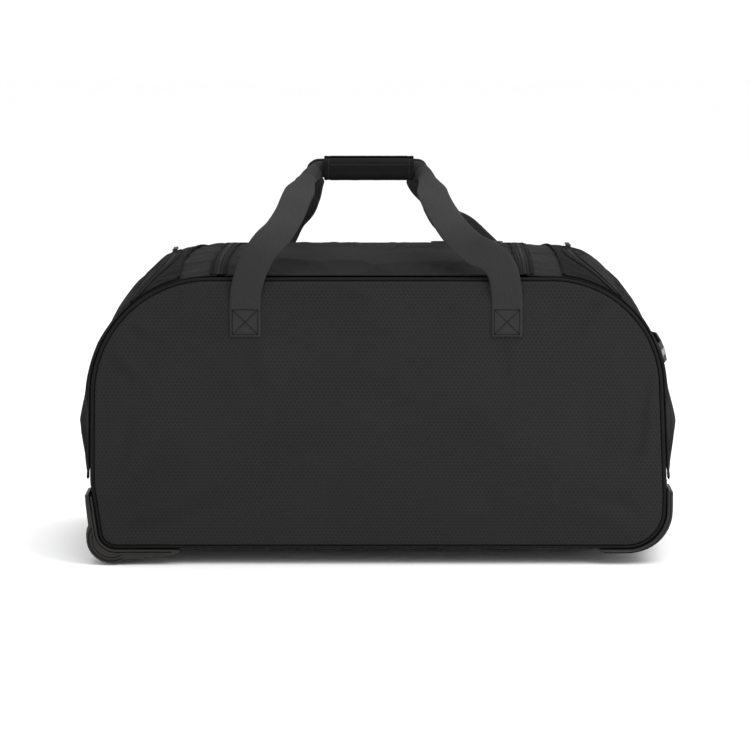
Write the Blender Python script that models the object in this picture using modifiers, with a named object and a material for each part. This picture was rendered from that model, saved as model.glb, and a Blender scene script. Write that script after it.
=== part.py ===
"""Rolling duffel bag, modelled as the separate pieces that it is sewn and assembled from.

Metres, +Z up. The bag stands on the floor at z = 0. The wheels are at the -X end, the pull handle
comes out of the +X end, and the long front side faces -Y. The side view of the body is one rounded
outline in the XZ plane. Everything sewn around the body is placed by its distance along that outline.
"""
import math

import bmesh
import bpy
from mathutils import Matrix, Vector

# ---------------------------------------------------------------- body
TOP = 0.3793                # top seam of the long panels
BASE = 0.0205               # underside of the body
PANEL_FACE = 0.1755         # outer face of the long panels, from the middle plane
PANEL_THICK = 0.004
GUSSET_HALF = 0.1698        # half width of the strip sewn between the two long panels
GUSSET_THICK = 0.003
PIPING_RADIUS = 0.0024
PIPING_Y = 0.1726
TOP_CROWN = 0.016           # how far the filled bag stands proud of its outline on top
END_CROWN = 0.008           # and at its ends
STIFF_HEIGHT = 0.094        # below this height the bag is held flat by its base
BASE_PANEL_X = (-0.3150, 0.2950)
GAP = 0.0003                # clearance between touching pieces

OUTLINE = (                 # x, z and fillet radius of each corner, from the middle of the base
    (0.0, BASE, 0.0),
    (-0.3650, BASE, 0.024),
    (-0.3770, 0.107, 0.080),
    (-0.3725, TOP, 0.155),
    (0.3640, TOP, 0.146),
    (0.3770, 0.094, 0.150),
    (0.3770, BASE, 0.052),
)

# ---------------------------------------------------------------- lid and zips
CHAIN_X = (-0.2043, 0.1858)  # the zip's teeth at the wheel side and the handle side of the lid
CHAIN_Y = 0.1200            # and along the far edge of the lid
CHAIN_CORNER = 0.0085
TAPE_WIDTH = 0.0076
TAPE_THICK = 0.0020
TAPE_INSET = 0.0041         # from the teeth to the middle of either tape
LID_INSET = 0.0083          # from the teeth to the fabric's edge
LID_HINGE = Vector((0.0, -0.1700, TOP + 0.0008))
SLIDER_SIZE = Vector((0.013, 0.009, 0.005))
SLIDER_X = (0.108, 0.136)
PULL_SIZE = Vector((0.028, 0.008, 0.0018))
PULL_STAND_OFF = 0.0014     # from the slider's end to the pull's hinge

# ---------------------------------------------------------------- end pockets
POCKET_TOP_X = {-1: -0.2570, 1: 0.2390}  # where the pocket at either end starts on top
POCKET_FOOT_Z = 0.115       # and the height where it ends
POCKET_BULGE = 0.0180
POCKET_THICK = 0.0025
ZIP_APEX_X = {-1: -0.2700, 1: 0.2520}  # the pocket's arched zip: its apex on top
ZIP_FOOT = {-1: (-0.3240, 0.3553), 1: (0.3117, 0.3565)}  # and its two ends at the long panels
ZIP_HALF_WIDTH = 0.005
ZIP_ARCH_POWER = 2.4
POCKET_SLIDER_Y = 0.020

# ---------------------------------------------------------------- carrying handles
WEBBING = 0.040
WEBBING_THICK = 0.0024
PATCH_X = (-0.1731, 0.1665)
PATCH_Z = (0.3016, 0.3399)
PATCH_Y = PANEL_FACE + GAP + WEBBING_THICK / 2
FOLD_AXIS_Y = PATCH_Y + WEBBING_THICK / 2 + GAP
FOLD_AXIS_Z = PATCH_Z[1] + GAP
GRIP_X = (-0.0728, 0.0471)
GRIP_Z = 0.5046
GRIP_STRAP_Y = 0.0023
GRIP_STRAP_WIDTH = 0.022
GRIP_HALF_THICK = 0.0145
GRIP_HALF_HEIGHT = 0.0150
GRIP_SLOT_HEIGHT = 0.0122
GRIP_SLOT_DEPTH = 0.0041
REAR_GRIP_RISE = 0.003
REAR_HANDLE_SHIFT = 0.014   # the rear handle is sewn on a little nearer to the pull handle's end
FRONT_LEGS = (              # middle of the webbing, from the stitching over the grip and back
    (-0.1731, -0.1770, 0.3409), (-0.1729, -0.1772, 0.3460), (-0.1708, -0.1812, 0.3660),
    (-0.1620, -0.1840, 0.3940), (-0.1468, -0.1790, 0.4200), (-0.1290, -0.1590, 0.4375),
    (-0.1169, -0.1280, 0.4553), (-0.1073, -0.0900, 0.4754), (-0.0960, -0.0460, 0.4930),
    (-0.0845, -0.0140, 0.5020), (-0.0726, -0.0023, GRIP_Z), (-0.0130, -0.0023, GRIP_Z),
    (0.0469, -0.0023, GRIP_Z), (0.0580, -0.0140, 0.5015), (0.0660, -0.0460, 0.4920),
    (0.0742, -0.0900, 0.4730), (0.0860, -0.1280, 0.4545), (0.0995, -0.1590, 0.4370),
    (0.1206, -0.1790, 0.4180), (0.1456, -0.1840, 0.4055), (0.1596, -0.1838, 0.3880),
    (0.1649, -0.1806, 0.3650), (0.1664, -0.1772, 0.3460), (0.1665, -0.1770, 0.3409),
)
LOOP_HEIGHT = 0.265         # grab loop across the pull handle's end
LOOP_HALF_LENGTH = 0.085
LOOP_HALF_WIDTH = 0.0125
LOOP_STAND_OFF = 0.0068

# ---------------------------------------------------------------- wheels and their housings
WHEEL = Vector((-0.3500, -0.1470, 0.0347))
WHEEL_RADIUS = 0.0347
TYRE_BORE = 0.0268
TYRE_HALF = 0.0120
HUB_HALF = 0.0110
AXLE_RADIUS = 0.0030
AXLE_BORE = 0.0033
DRUM_RADIUS = 0.0415
WELL_RADIUS = 0.0385
DRUM_Y = (-0.1695, -0.1280)
WELL_Y = (-0.1620, -0.1320)
AXLE_Y = (-0.1660, -0.1262)
GUARD_Y = (-0.1765, -0.1210)
GUARD_RADIUS = 0.0325
GUARD_CLEAR = 0.0006        # between the moulded guards and the body

# ---------------------------------------------------------------- pull handle
TUBE_Y = 0.060
TUBE_Z = 0.060
OUTER_TUBE = (0.0090, 0.0080)
INNER_TUBE = (0.0074, 0.0062)
OUTER_TUBE_X = (-0.3000, 0.3357)
INNER_TUBE_X = (-0.2800, 0.3602)
ROD_RADIUS = 0.0025
ROD_X = (-0.2700, 0.3560)
PIN_X = -0.2600
PIN_RADIUS = 0.0020
PIN_Z = (0.0524, 0.0550)
BEZEL_LOW = Vector((0.3360, -0.0980, 0.0420))
BEZEL_HIGH = Vector((0.3835, 0.0980, 0.1020))
BEZEL_WALL = 0.0045
GRIP_LOW = Vector((0.3605, -0.0720, 0.0500))
GRIP_HIGH = Vector((0.3815, 0.0720, 0.0700))
BUTTON_HALF = Vector((0.0032, 0.0150, 0.0050))
BUTTON_X = 0.3797
BOARD_Z = (0.0722, 0.0752)
BRACKET_LOW = Vector((-0.3150, -0.0750, 0.0460))
BRACKET_HIGH = Vector((-0.3003, 0.0750, 0.0708))
FOOT_X = (0.2850, 0.3250)
FOOT_Y = (0.0350, 0.0650)

ARC_STEP = math.radians(9.0)
FINE_STEP = math.radians(3.0)


# ---------------------------------------------------------------- scene and materials
def clear_scene():
    for obj in list(bpy.data.objects):
        bpy.data.objects.remove(obj, do_unlink=True)


def collection(name):
    made = bpy.data.collections.new(name)
    bpy.context.scene.collection.children.link(made)
    return made


def material(name, colour, roughness, metallic=0.0):
    made = bpy.data.materials.new(name)
    made.use_nodes = True
    shader = made.node_tree.nodes["Principled BSDF"]
    shader.inputs["Base Color"].default_value = (*colour, 1.0)
    shader.inputs["Roughness"].default_value = roughness
    shader.inputs["Metallic"].default_value = metallic
    return made


clear_scene()
PARTS = collection("rolling_duffel_bag")
CUTTERS = collection("cutters")
LOOKS = {
    "panel_fabric": ((0.030, 0.030, 0.032), 0.85, 0.0),
    "plain_fabric": ((0.045, 0.045, 0.046), 0.85, 0.0),
    "piping": ((0.012, 0.012, 0.013), 0.70, 0.0),
    "webbing": ((0.050, 0.050, 0.050), 0.80, 0.0),
    "zip_tape": ((0.015, 0.015, 0.016), 0.80, 0.0),
    "zip_metal": ((0.060, 0.060, 0.062), 0.40, 1.0),
    "moulding": ((0.050, 0.050, 0.045), 0.55, 0.0),
    "tyre": ((0.030, 0.030, 0.030), 0.75, 0.0),
    "steel": ((0.550, 0.550, 0.560), 0.30, 1.0),
    "aluminium": ((0.600, 0.600, 0.610), 0.35, 1.0),
    "board": ((0.040, 0.040, 0.042), 0.80, 0.0),
}


# ---------------------------------------------------------------- making objects
def keep(obj, look):
    """Put a finished part in the object's collection with a material of its own."""
    for user in list(obj.users_collection):
        user.objects.unlink(obj)
    PARTS.objects.link(obj)
    obj.data.materials.clear()
    obj.data.materials.append(material(obj.name, *LOOKS[look]))
    return obj


def cutter(obj):
    for user in list(obj.users_collection):
        user.objects.unlink(obj)
    CUTTERS.objects.link(obj)
    obj.hide_render = True
    obj.display_type = "WIRE"
    return obj


def mesh_object(name, shape):
    data = bpy.data.meshes.new(name)
    shape.to_mesh(data)
    shape.free()
    obj = bpy.data.objects.new(name, data)
    bpy.context.scene.collection.objects.link(obj)
    return obj


def box(name, low, high, bevel=0.0):
    """A box between two corners, its edges rounded by a bevel."""
    size = Vector(high) - Vector(low)
    shape = bmesh.new()
    bmesh.ops.create_cube(shape, size=1.0)
    bmesh.ops.scale(shape, vec=size, verts=shape.verts)
    obj = mesh_object(name, shape)
    obj.location = (Vector(low) + Vector(high)) / 2
    if bevel:
        rounding = obj.modifiers.new("rounded edges", "BEVEL")
        rounding.width = bevel
        rounding.segments = 2
    return obj


def rod(name, start, end, radius, sides=16):
    """A solid cylinder between two points."""
    start = Vector(start)
    end = Vector(end)
    shape = bmesh.new()
    bmesh.ops.create_cone(shape, cap_ends=True, segments=sides, radius1=radius, radius2=radius,
                          depth=(end - start).length)
    obj = mesh_object(name, shape)
    obj.location = (start + end) / 2
    obj.rotation_euler = (end - start).to_track_quat("Z", "X").to_euler()
    obj.data.shade_smooth()
    obj.data.set_sharp_from_angle(angle=math.radians(40))
    return obj


def turned(name, profile, centre, sides=28):
    """A ring or disc turned about an axis along Y: profile of radius and offset along the axis."""
    shape = bmesh.new()
    rim = [shape.verts.new((radius, 0.0, along)) for radius, along in profile]
    for first, second in zip(rim, rim[1:] + rim[:1]):
        shape.edges.new((first, second))
    obj = mesh_object(name, shape)
    obj.location = centre
    obj.rotation_euler = (math.radians(90), 0.0, 0.0)
    screw = obj.modifiers.new("turned", "SCREW")
    screw.steps = sides
    screw.render_steps = sides
    screw.use_merge_vertices = True
    screw.merge_threshold = 0.00005
    screw.use_smooth_shade = False
    return obj


def outline_curve(name, points, thickness):
    """A flat filled outline, thick along its own Z."""
    data = bpy.data.curves.new(name, "CURVE")
    data.dimensions = "2D"
    data.fill_mode = "BOTH"
    data.extrude = thickness / 2
    spline = data.splines.new("POLY")
    spline.points.add(len(points) - 1)
    for point, (across, up) in zip(spline.points, points):
        point.co = (across, up, 0.0, 1.0)
    spline.use_cyclic_u = True
    obj = bpy.data.objects.new(name, data)
    bpy.context.scene.collection.objects.link(obj)
    return obj


def plate(name, points, low_y, high_y):
    """An outline in the XZ plane, thick from low_y to high_y."""
    obj = outline_curve(name, points, high_y - low_y)
    obj.rotation_euler = (math.radians(90), 0.0, 0.0)
    obj.location = (0.0, (low_y + high_y) / 2, 0.0)
    return obj


def bar(name, points, low_x, high_x):
    """An outline in the YZ plane, long from low_x to high_x."""
    obj = outline_curve(name, points, high_x - low_x)
    obj.rotation_euler = (math.radians(90), 0.0, math.radians(90))
    obj.location = ((low_x + high_x) / 2, 0.0, 0.0)
    return obj


def as_mesh(curve):
    """The same shape as a welded mesh, ready for a Boolean."""
    bpy.context.view_layer.update()
    depsgraph = bpy.context.evaluated_depsgraph_get()
    data = bpy.data.meshes.new_from_object(curve.evaluated_get(depsgraph))
    shape = bmesh.new()
    shape.from_mesh(data)
    bmesh.ops.remove_doubles(shape, verts=shape.verts, dist=0.00001)
    bmesh.ops.recalc_face_normals(shape, faces=shape.faces)
    shape.to_mesh(data)
    shape.free()
    name = curve.name
    place = curve.matrix_world.copy()
    bpy.data.objects.remove(curve, do_unlink=True)
    obj = bpy.data.objects.new(name, data)
    bpy.context.scene.collection.objects.link(obj)
    obj.matrix_world = place
    return obj


def boolean(obj, other, operation="DIFFERENCE"):
    step = obj.modifiers.new(operation.lower(), "BOOLEAN")
    step.operation = operation
    step.object = cutter(other)
    return obj


def sheet(name, place, along, across, thickness):
    """A fabric sheet: a grid laid on place(u, v), u and v from -1 to 1, thickened behind its face."""
    shape = bmesh.new()
    bmesh.ops.create_grid(shape, x_segments=along, y_segments=across, size=1.0)
    for vertex in shape.verts:
        vertex.co = place(vertex.co.x, vertex.co.y)
    obj = mesh_object(name, shape)
    solid = obj.modifiers.new("fabric thickness", "SOLIDIFY")
    solid.thickness = thickness
    solid.offset = -1.0
    solid.use_even_offset = True
    return obj


def pivot(obj, point):
    """Move a part's origin to its joint's axis, and leave its shape where it is."""
    bpy.context.view_layer.update()
    local = obj.matrix_world.inverted() @ Vector(point)
    obj.data.transform(Matrix.Translation(-local))
    obj.matrix_world = obj.matrix_world @ Matrix.Translation(local)
    return obj


# ---------------------------------------------------------------- outlines and paths
def rounded_path(corners, step=ARC_STEP, closed=True):
    """Points of a polygon whose corners (x, y, radius) are filleted. Radius 0 keeps a plain corner."""
    points = []
    count = len(corners)
    for index, (x, y, radius) in enumerate(corners):
        here = Vector((x, y))
        if radius == 0.0 or (not closed and index in (0, count - 1)):
            points.append(here)
            continue
        before = (Vector(corners[index - 1][:2]) - here).normalized()
        after = (Vector(corners[(index + 1) % count][:2]) - here).normalized()
        half = before.angle(after) / 2
        centre = here + (before + after).normalized() * radius / math.sin(half)
        first = here + before * radius / math.tan(half) - centre
        turn = math.pi - 2 * half
        if before.cross(after) > 0:
            turn = -turn
        pieces = max(1, math.ceil(abs(turn) / step))
        for piece in range(pieces + 1):
            arm = first.copy()
            arm.rotate(Matrix.Rotation(turn * piece / pieces, 2))
            points.append(centre + arm)
    return points


def arc(centre, radius, first, last, pieces):
    """Points of a circular arc, its angles in degrees."""
    angles = [math.radians(first + (last - first) * k / pieces) for k in range(pieces + 1)]
    return [Vector((centre[0] + radius * math.cos(a), centre[1] + radius * math.sin(a))) for a in angles]


def offset(points, distance, closed=True):
    """The same path moved to its left, which is outwards on the body's outline."""
    moved = []
    count = len(points)
    for index, point in enumerate(points):
        before = points[index - 1] if closed or index else point
        after = points[(index + 1) % count] if closed or index < count - 1 else point
        run = (after - before).normalized()
        moved.append(point + Vector((-run.y, run.x)) * distance)
    return moved


def smooth_path(points, pieces):
    """A curve through every point, from each to the next by a Catmull-Rom piece."""
    found = []
    last = len(points) - 1
    for index in range(last):
        p0 = points[max(index - 1, 0)]
        p1 = points[index]
        p2 = points[index + 1]
        p3 = points[min(index + 2, last)]
        for piece in range(pieces):
            t = piece / pieces
            found.append(0.5 * (2 * p1 + (p2 - p0) * t + (2 * p0 - 5 * p1 + 4 * p2 - p3) * t ** 2
                                + (3 * p1 - p0 - 3 * p2 + p3) * t ** 3))
    found.append(points[-1])
    return found


def smooth_step(value, low, high):
    t = min(max((value - low) / (high - low), 0.0), 1.0)
    return t * t * (3 - 2 * t)


BODY = rounded_path(OUTLINE, FINE_STEP)
BODY_LENGTHS = [0.0]
for _first, _second in zip(BODY, BODY[1:] + BODY[:1]):
    BODY_LENGTHS.append(BODY_LENGTHS[-1] + (_second - _first).length)
BODY_LENGTH = BODY_LENGTHS[-1]


def on_body(distance):
    """Point of the body's outline at a distance along it, and the outward direction there."""
    distance %= BODY_LENGTH
    index = 0
    while BODY_LENGTHS[index + 1] < distance:
        index += 1
    count = len(BODY)
    part = (distance - BODY_LENGTHS[index]) / (BODY_LENGTHS[index + 1] - BODY_LENGTHS[index])
    first = BODY[index]
    second = BODY[(index + 1) % count]
    run = second - first
    ahead = BODY[(index + 2) % count] - second
    behind = first - BODY[index - 1]
    mixed = (run.normalized() + ahead.normalized() * part + behind.normalized() * (1 - part)).normalized()
    return first + run * part, Vector((-mixed.y, mixed.x))


def along_body(x, z):
    """Distance along the outline of its point nearest to (x, z)."""
    goal = Vector((x, z))
    nearest = 0.0
    reach = BODY_LENGTH / 2
    while reach > 0.00001:
        trials = [nearest + reach * k / 40 for k in range(-40, 41)]
        nearest = min(trials, key=lambda distance: (on_body(distance)[0] - goal).length)
        reach /= 20
    return nearest % BODY_LENGTH


def crown(point, outward, y):
    """How far the filled bag stands proud of its outline: rounder at its ends, squarer on top."""
    top_share = max(outward.y, 0.0) ** 2
    across = abs(y) / PANEL_FACE
    on_top = TOP_CROWN * top_share * (1 - across ** 4)
    at_end = END_CROWN * (1 - top_share) * (1 - across ** 2)
    return (on_top + at_end) * smooth_step(point.y, STIFF_HEIGHT, STIFF_HEIGHT + 0.05)


def on_skin(distance, y, lift=0.0):
    """A point of the gusset's outer face, or lifted off it."""
    point, outward = on_body(distance)
    proud = crown(point, outward, y) + lift
    return Vector((point.x + outward.x * proud, y, point.y + outward.y * proud))


def skin_strip(name, start, end, low_y, high_y, along, across, look):
    """A strip of gusset fabric from one distance along the outline to another."""
    def place(u, v):
        return on_skin(start + (end - start) * (u + 1) / 2, low_y + (high_y - low_y) * (v + 1) / 2)
    return keep(sheet(name, place, along, across, GUSSET_THICK), look)


# ---------------------------------------------------------------- the sewn body
def long_panels():
    for side, name in ((-1, "front"), (1, "rear")):
        panel_outline = offset(rounded_path(OUTLINE), -0.0057)
        faces = sorted((side * PANEL_FACE, side * (PANEL_FACE - PANEL_THICK)))
        keep(plate(name + "_panel", panel_outline, *faces), "panel_fabric")
        cord = bpy.data.curves.new(name + "_piping", "CURVE")
        cord.dimensions = "3D"
        cord.bevel_depth = PIPING_RADIUS
        cord.bevel_resolution = 1
        route = offset(rounded_path(OUTLINE), -0.0027)
        spline = cord.splines.new("POLY")
        spline.points.add(len(route) - 1)
        for point, (x, z) in zip(spline.points, route):
            point.co = (x, side * PIPING_Y, z, 1.0)
        spline.use_cyclic_u = True
        keep(bpy.data.objects.new(name + "_piping", cord), "piping")


def gussets():
    wheel_foot = along_body(BASE_PANEL_X[0], BASE)
    handle_foot = along_body(BASE_PANEL_X[1], BASE)
    wheel_top = along_body(CHAIN_X[0] - LID_INSET, TOP)
    handle_top = along_body(CHAIN_X[1] + LID_INSET, TOP)
    skin_strip("base_panel", handle_foot - BODY_LENGTH + GAP, wheel_foot - GAP,
               -GUSSET_HALF, GUSSET_HALF, 3, 1, "plain_fabric")
    wheel_end = skin_strip("wheel_end_gusset", wheel_foot, wheel_top,
                           -GUSSET_HALF, GUSSET_HALF, 36, 8, "plain_fabric")
    handle_end = skin_strip("handle_end_gusset", handle_top, handle_foot,
                            -GUSSET_HALF, GUSSET_HALF, 36, 8, "plain_fabric")
    mouth = box("bezel_hole", BEZEL_LOW - Vector((0.01, GAP, GAP)), BEZEL_HIGH + Vector((0.02, GAP, GAP)))
    boolean(handle_end, mouth)
    for side in (-1, 1):
        room = rod("wheel_room", (WHEEL.x, side * 0.1800, WHEEL.z),
                   (WHEEL.x, side * (-DRUM_Y[1] - GAP), WHEEL.z), DRUM_RADIUS + GAP, 32)
        boolean(wheel_end, room)
        boolean(bpy.data.objects["base_panel"], room)


def top_height(y):
    """Height of the outer fabric on the flat of the top."""
    return TOP + TOP_CROWN * (1 - (y / PANEL_FACE) ** 4)


def lid_and_main_zip():
    lid_start = along_body(CHAIN_X[0] + LID_INSET, TOP)
    lid_end = along_body(CHAIN_X[1] - LID_INSET, TOP)
    lid = skin_strip("lid_panel", lid_start, lid_end, -GUSSET_HALF + GAP, CHAIN_Y - LID_INSET,
                     6, 8, "plain_fabric")
    pivot(lid, LID_HINGE)
    skin_strip("rear_top_strip", along_body(CHAIN_X[0] - LID_INSET, TOP) + GAP,
               along_body(CHAIN_X[1] + LID_INSET, TOP) - GAP, CHAIN_Y + LID_INSET, GUSSET_HALF,
               6, 2, "plain_fabric")
    start_y = -GUSSET_HALF + GAP
    for name, reach in (("body_zip_tape", TAPE_INSET), ("lid_zip_tape", -TAPE_INSET)):
        line = rounded_path((
            (CHAIN_X[0] - reach, start_y, 0.0),
            (CHAIN_X[0] - reach, CHAIN_Y + reach, CHAIN_CORNER + reach),
            (CHAIN_X[1] + reach, CHAIN_Y + reach, CHAIN_CORNER + reach),
            (CHAIN_X[1] + reach, start_y, 0.0),
        ), math.radians(22), closed=False)
        runs = [line[0]]
        for first, second in zip(line, line[1:]):
            pieces = max(1, round((second - first).length / 0.045))
            runs += [first.lerp(second, (k + 1) / pieces) for k in range(pieces)]
        sides = (offset(runs, TAPE_WIDTH / 2, False), offset(runs, -TAPE_WIDTH / 2, False))

        def place(u, v, sides=sides, last=len(runs) - 1):
            index = round((u + 1) / 2 * last)
            x, y = sides[0 if v > 0 else 1][index]
            return Vector((x, y, top_height(y)))
        tape = keep(sheet(name, place, len(runs) - 1, 1, TAPE_THICK), "zip_tape")
        if name == "lid_zip_tape":
            pivot(tape, LID_HINGE)


def zip_slider(name, place, turn, look="zip_metal"):
    """A slider body whose underside is at place, turned about Y."""
    slider = box(name, -SLIDER_SIZE / 2, SLIDER_SIZE / 2, 0.001)
    slider.matrix_world = place @ turn @ Matrix.Translation((0.0, 0.0, SLIDER_SIZE.z / 2))
    return keep(slider, look)


def zip_pull(name, place, turn):
    """A pull tab lying flat beside its slider, from its hinge towards the turned +X."""
    tab = box(name, -PULL_SIZE / 2, PULL_SIZE / 2, 0.0006)
    shift = Matrix.Translation((PULL_SIZE.x / 2, 0.0, 0.0))
    tab.data.transform(shift)
    tab.matrix_world = place @ turn
    return keep(tab, "zip_metal")


def main_sliders():
    for name, x, away in (("wheel_side", SLIDER_X[0], -1), ("handle_side", SLIDER_X[1], 1)):
        turn = Matrix.Identity(4) if away > 0 else Matrix.Rotation(math.pi, 4, "Z")
        seat = Vector((x, CHAIN_Y, top_height(CHAIN_Y - SLIDER_SIZE.y / 2) + GAP))
        zip_slider("main_zip_slider_" + name, Matrix.Translation(seat), turn)
        hinge = seat + Vector((away * (SLIDER_SIZE.x / 2 + PULL_STAND_OFF), 0.0, SLIDER_SIZE.z / 2))
        zip_pull("main_zip_pull_" + name, Matrix.Translation(hinge), turn)


# ---------------------------------------------------------------- end pockets
def pocket_span(end):
    """Start and end of a pocket along the outline, from its top edge to its foot."""
    top = along_body(POCKET_TOP_X[end], TOP)
    foot = along_body(end * OUTLINE[-1][0], POCKET_FOOT_Z)
    return top, foot


def pocket_lift(end, distance, y):
    """How far a pocket's outer face stands off the gusset."""
    top, foot = pocket_span_of[end]
    share = (distance - top) / (foot - top)
    swell = share ** 1.2 * (1 - share ** 12)
    across = 1 - (y / PANEL_FACE) ** 2
    return GAP + POCKET_THICK + POCKET_BULGE * swell * across


pocket_span_of = {-1: pocket_span(-1), 1: pocket_span(1)}


def end_pocket(end, name):
    top, foot = pocket_span_of[end]

    def place(u, v):
        share = (1 - end * u) / 2 if end < 0 else (1 + u) / 2
        distance = top + (foot - top) * (share if end > 0 else 1 - share)
        y = v * GUSSET_HALF
        return on_skin(distance, y, pocket_lift(end, distance, y))
    pocket = sheet(name + "_end_pocket", place, 24, 8, POCKET_THICK)
    return keep(pocket, "plain_fabric")


def pocket_zip(end, name):
    """The arched zip of an end pocket, its slider and its pull."""
    apex = along_body(ZIP_APEX_X[end], TOP)
    foot = along_body(*ZIP_FOOT[end])
    direction = 1 if foot > apex else -1

    def arch(y):
        return apex + (foot - apex) * (abs(y) / GUSSET_HALF) ** ZIP_ARCH_POWER

    def place(u, v):
        y = v * (GUSSET_HALF - 0.002)
        distance = arch(y) + u * ZIP_HALF_WIDTH
        return on_skin(distance, y, pocket_lift(end, distance, y) + GAP + 0.0017)
    keep(sheet(name + "_pocket_zip", place, 1, 22, 0.0014), "zip_tape")

    seat = on_skin(apex, POCKET_SLIDER_Y, pocket_lift(end, apex, POCKET_SLIDER_Y) + 2 * GAP + 0.0019)
    near = on_skin(apex - direction * 0.004, POCKET_SLIDER_Y,
                   pocket_lift(end, apex - direction * 0.004, POCKET_SLIDER_Y))
    far = on_skin(apex + direction * 0.004, POCKET_SLIDER_Y,
                  pocket_lift(end, apex + direction * 0.004, POCKET_SLIDER_Y))
    slope = math.atan2(far.z - near.z, far.x - near.x)
    if end < 0:
        slope = math.atan2(near.z - far.z, near.x - far.x)
    tilt = Matrix.Rotation(-slope, 4, "Y")
    quarter = Matrix.Rotation(math.pi / 2, 4, "Z")
    zip_slider(name + "_pocket_slider", Matrix.Translation(seat) @ tilt, quarter)
    raised = tilt @ Vector((0.0, SLIDER_SIZE.x / 2 + PULL_STAND_OFF, SLIDER_SIZE.z / 2))
    zip_pull(name + "_pocket_pull", Matrix.Translation(seat + raised) @ tilt, quarter)


def grab_loop():
    """Webbing grab loop across the pull handle's end, sewn down at both ends."""
    middle = along_body(0.3650, LOOP_HEIGHT)

    def place(u, v):
        y = u * LOOP_HALF_LENGTH
        distance = middle - v * LOOP_HALF_WIDTH
        rise = smooth_step(1 - abs(u), 0.14, 0.60)
        lift = pocket_lift(1, distance, y) + 2 * GAP + WEBBING_THICK
        return on_skin(distance, y, lift + LOOP_STAND_OFF * rise)
    keep(sheet("grab_loop", place, 20, 2, WEBBING_THICK), "webbing")


# ---------------------------------------------------------------- carrying handles
def strap_path(side):
    """Middle line of a carrying handle. The rear one mirrors the front one, set a little over."""
    points = [Vector(point) for point in FRONT_LEGS]
    if side < 0:
        return points
    mirrored = []
    for point in points:
        below_grip = 1 - smooth_step(point.z, 0.44, 0.49)
        rise = REAR_GRIP_RISE * (1 - below_grip)
        mirrored.append(Vector((point.x + REAR_HANDLE_SHIFT * below_grip, -point.y, point.z + rise)))
    return mirrored


def strap_sections(side):
    """Places and width directions along a carrying handle."""
    line = smooth_path(strap_path(side), 3)
    sections = []
    for index, point in enumerate(line):
        run = (line[min(index + 1, len(line) - 1)] - line[max(index - 1, 0)]).normalized()
        lean = smooth_step(point.z, 0.40, 0.48) * (1 - smooth_step(point.z, 0.492, 0.499))
        facing = Vector((0.0, side, 0.8 * lean)).normalized()
        across = facing.cross(run).normalized()
        tuck = smooth_step(point.z, 0.480, 0.4975)
        width = WEBBING + (GRIP_STRAP_WIDTH - WEBBING) * tuck
        sections.append((point, across * width / 2, run.cross(across).normalized()))
    return sections


def carrying_handle(side, name):
    sections = strap_sections(side)
    last = len(sections) - 1

    def place(u, v):
        point, across, face = sections[round((u + 1) / 2 * last)]
        return point + across * v + face * WEBBING_THICK / 2 * (1 if face.dot(Vector((0, side, 0))) > 0 else -1)
    strap = sheet(name + "_carry_strap", place, last, 1, WEBBING_THICK)
    fold_axis = Vector((0.0, side * FOLD_AXIS_Y, FOLD_AXIS_Z))
    pivot(keep(strap, "webbing"), fold_axis)

    shift = 0.0 if side < 0 else REAR_HANDLE_SHIFT
    for end, x in zip(("wheel", "handle"), PATCH_X):
        faces = sorted((side * (PANEL_FACE + GAP), side * (PANEL_FACE + GAP + WEBBING_THICK)))
        patch = box(name + "_strap_anchor_" + end,
                    (x + shift - WEBBING / 2, faces[0], PATCH_Z[0]),
                    (x + shift + WEBBING / 2, faces[1], PATCH_Z[1]))
        keep(patch, "webbing")

    middle = GRIP_Z if side < 0 else GRIP_Z + REAR_GRIP_RISE
    shell = rounded_path((
        (side * GAP, middle - GRIP_HALF_HEIGHT, 0.0),
        (side * GRIP_HALF_THICK, middle - GRIP_HALF_HEIGHT, 0.0085),
        (side * GRIP_HALF_THICK, middle + GRIP_HALF_HEIGHT, 0.0085),
        (side * GAP, middle + GRIP_HALF_HEIGHT, 0.0),
        (side * GAP, middle + GRIP_SLOT_HEIGHT, 0.0),
        (side * GRIP_SLOT_DEPTH, middle + GRIP_SLOT_HEIGHT, 0.0),
        (side * GRIP_SLOT_DEPTH, middle - GRIP_SLOT_HEIGHT, 0.0),
        (side * GAP, middle - GRIP_SLOT_HEIGHT, 0.0),
    ), math.radians(18))
    wrap = bar(name + "_grip_wrap", shell, *GRIP_X)
    pivot(keep(as_mesh(wrap), "plain_fabric"), fold_axis)


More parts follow.
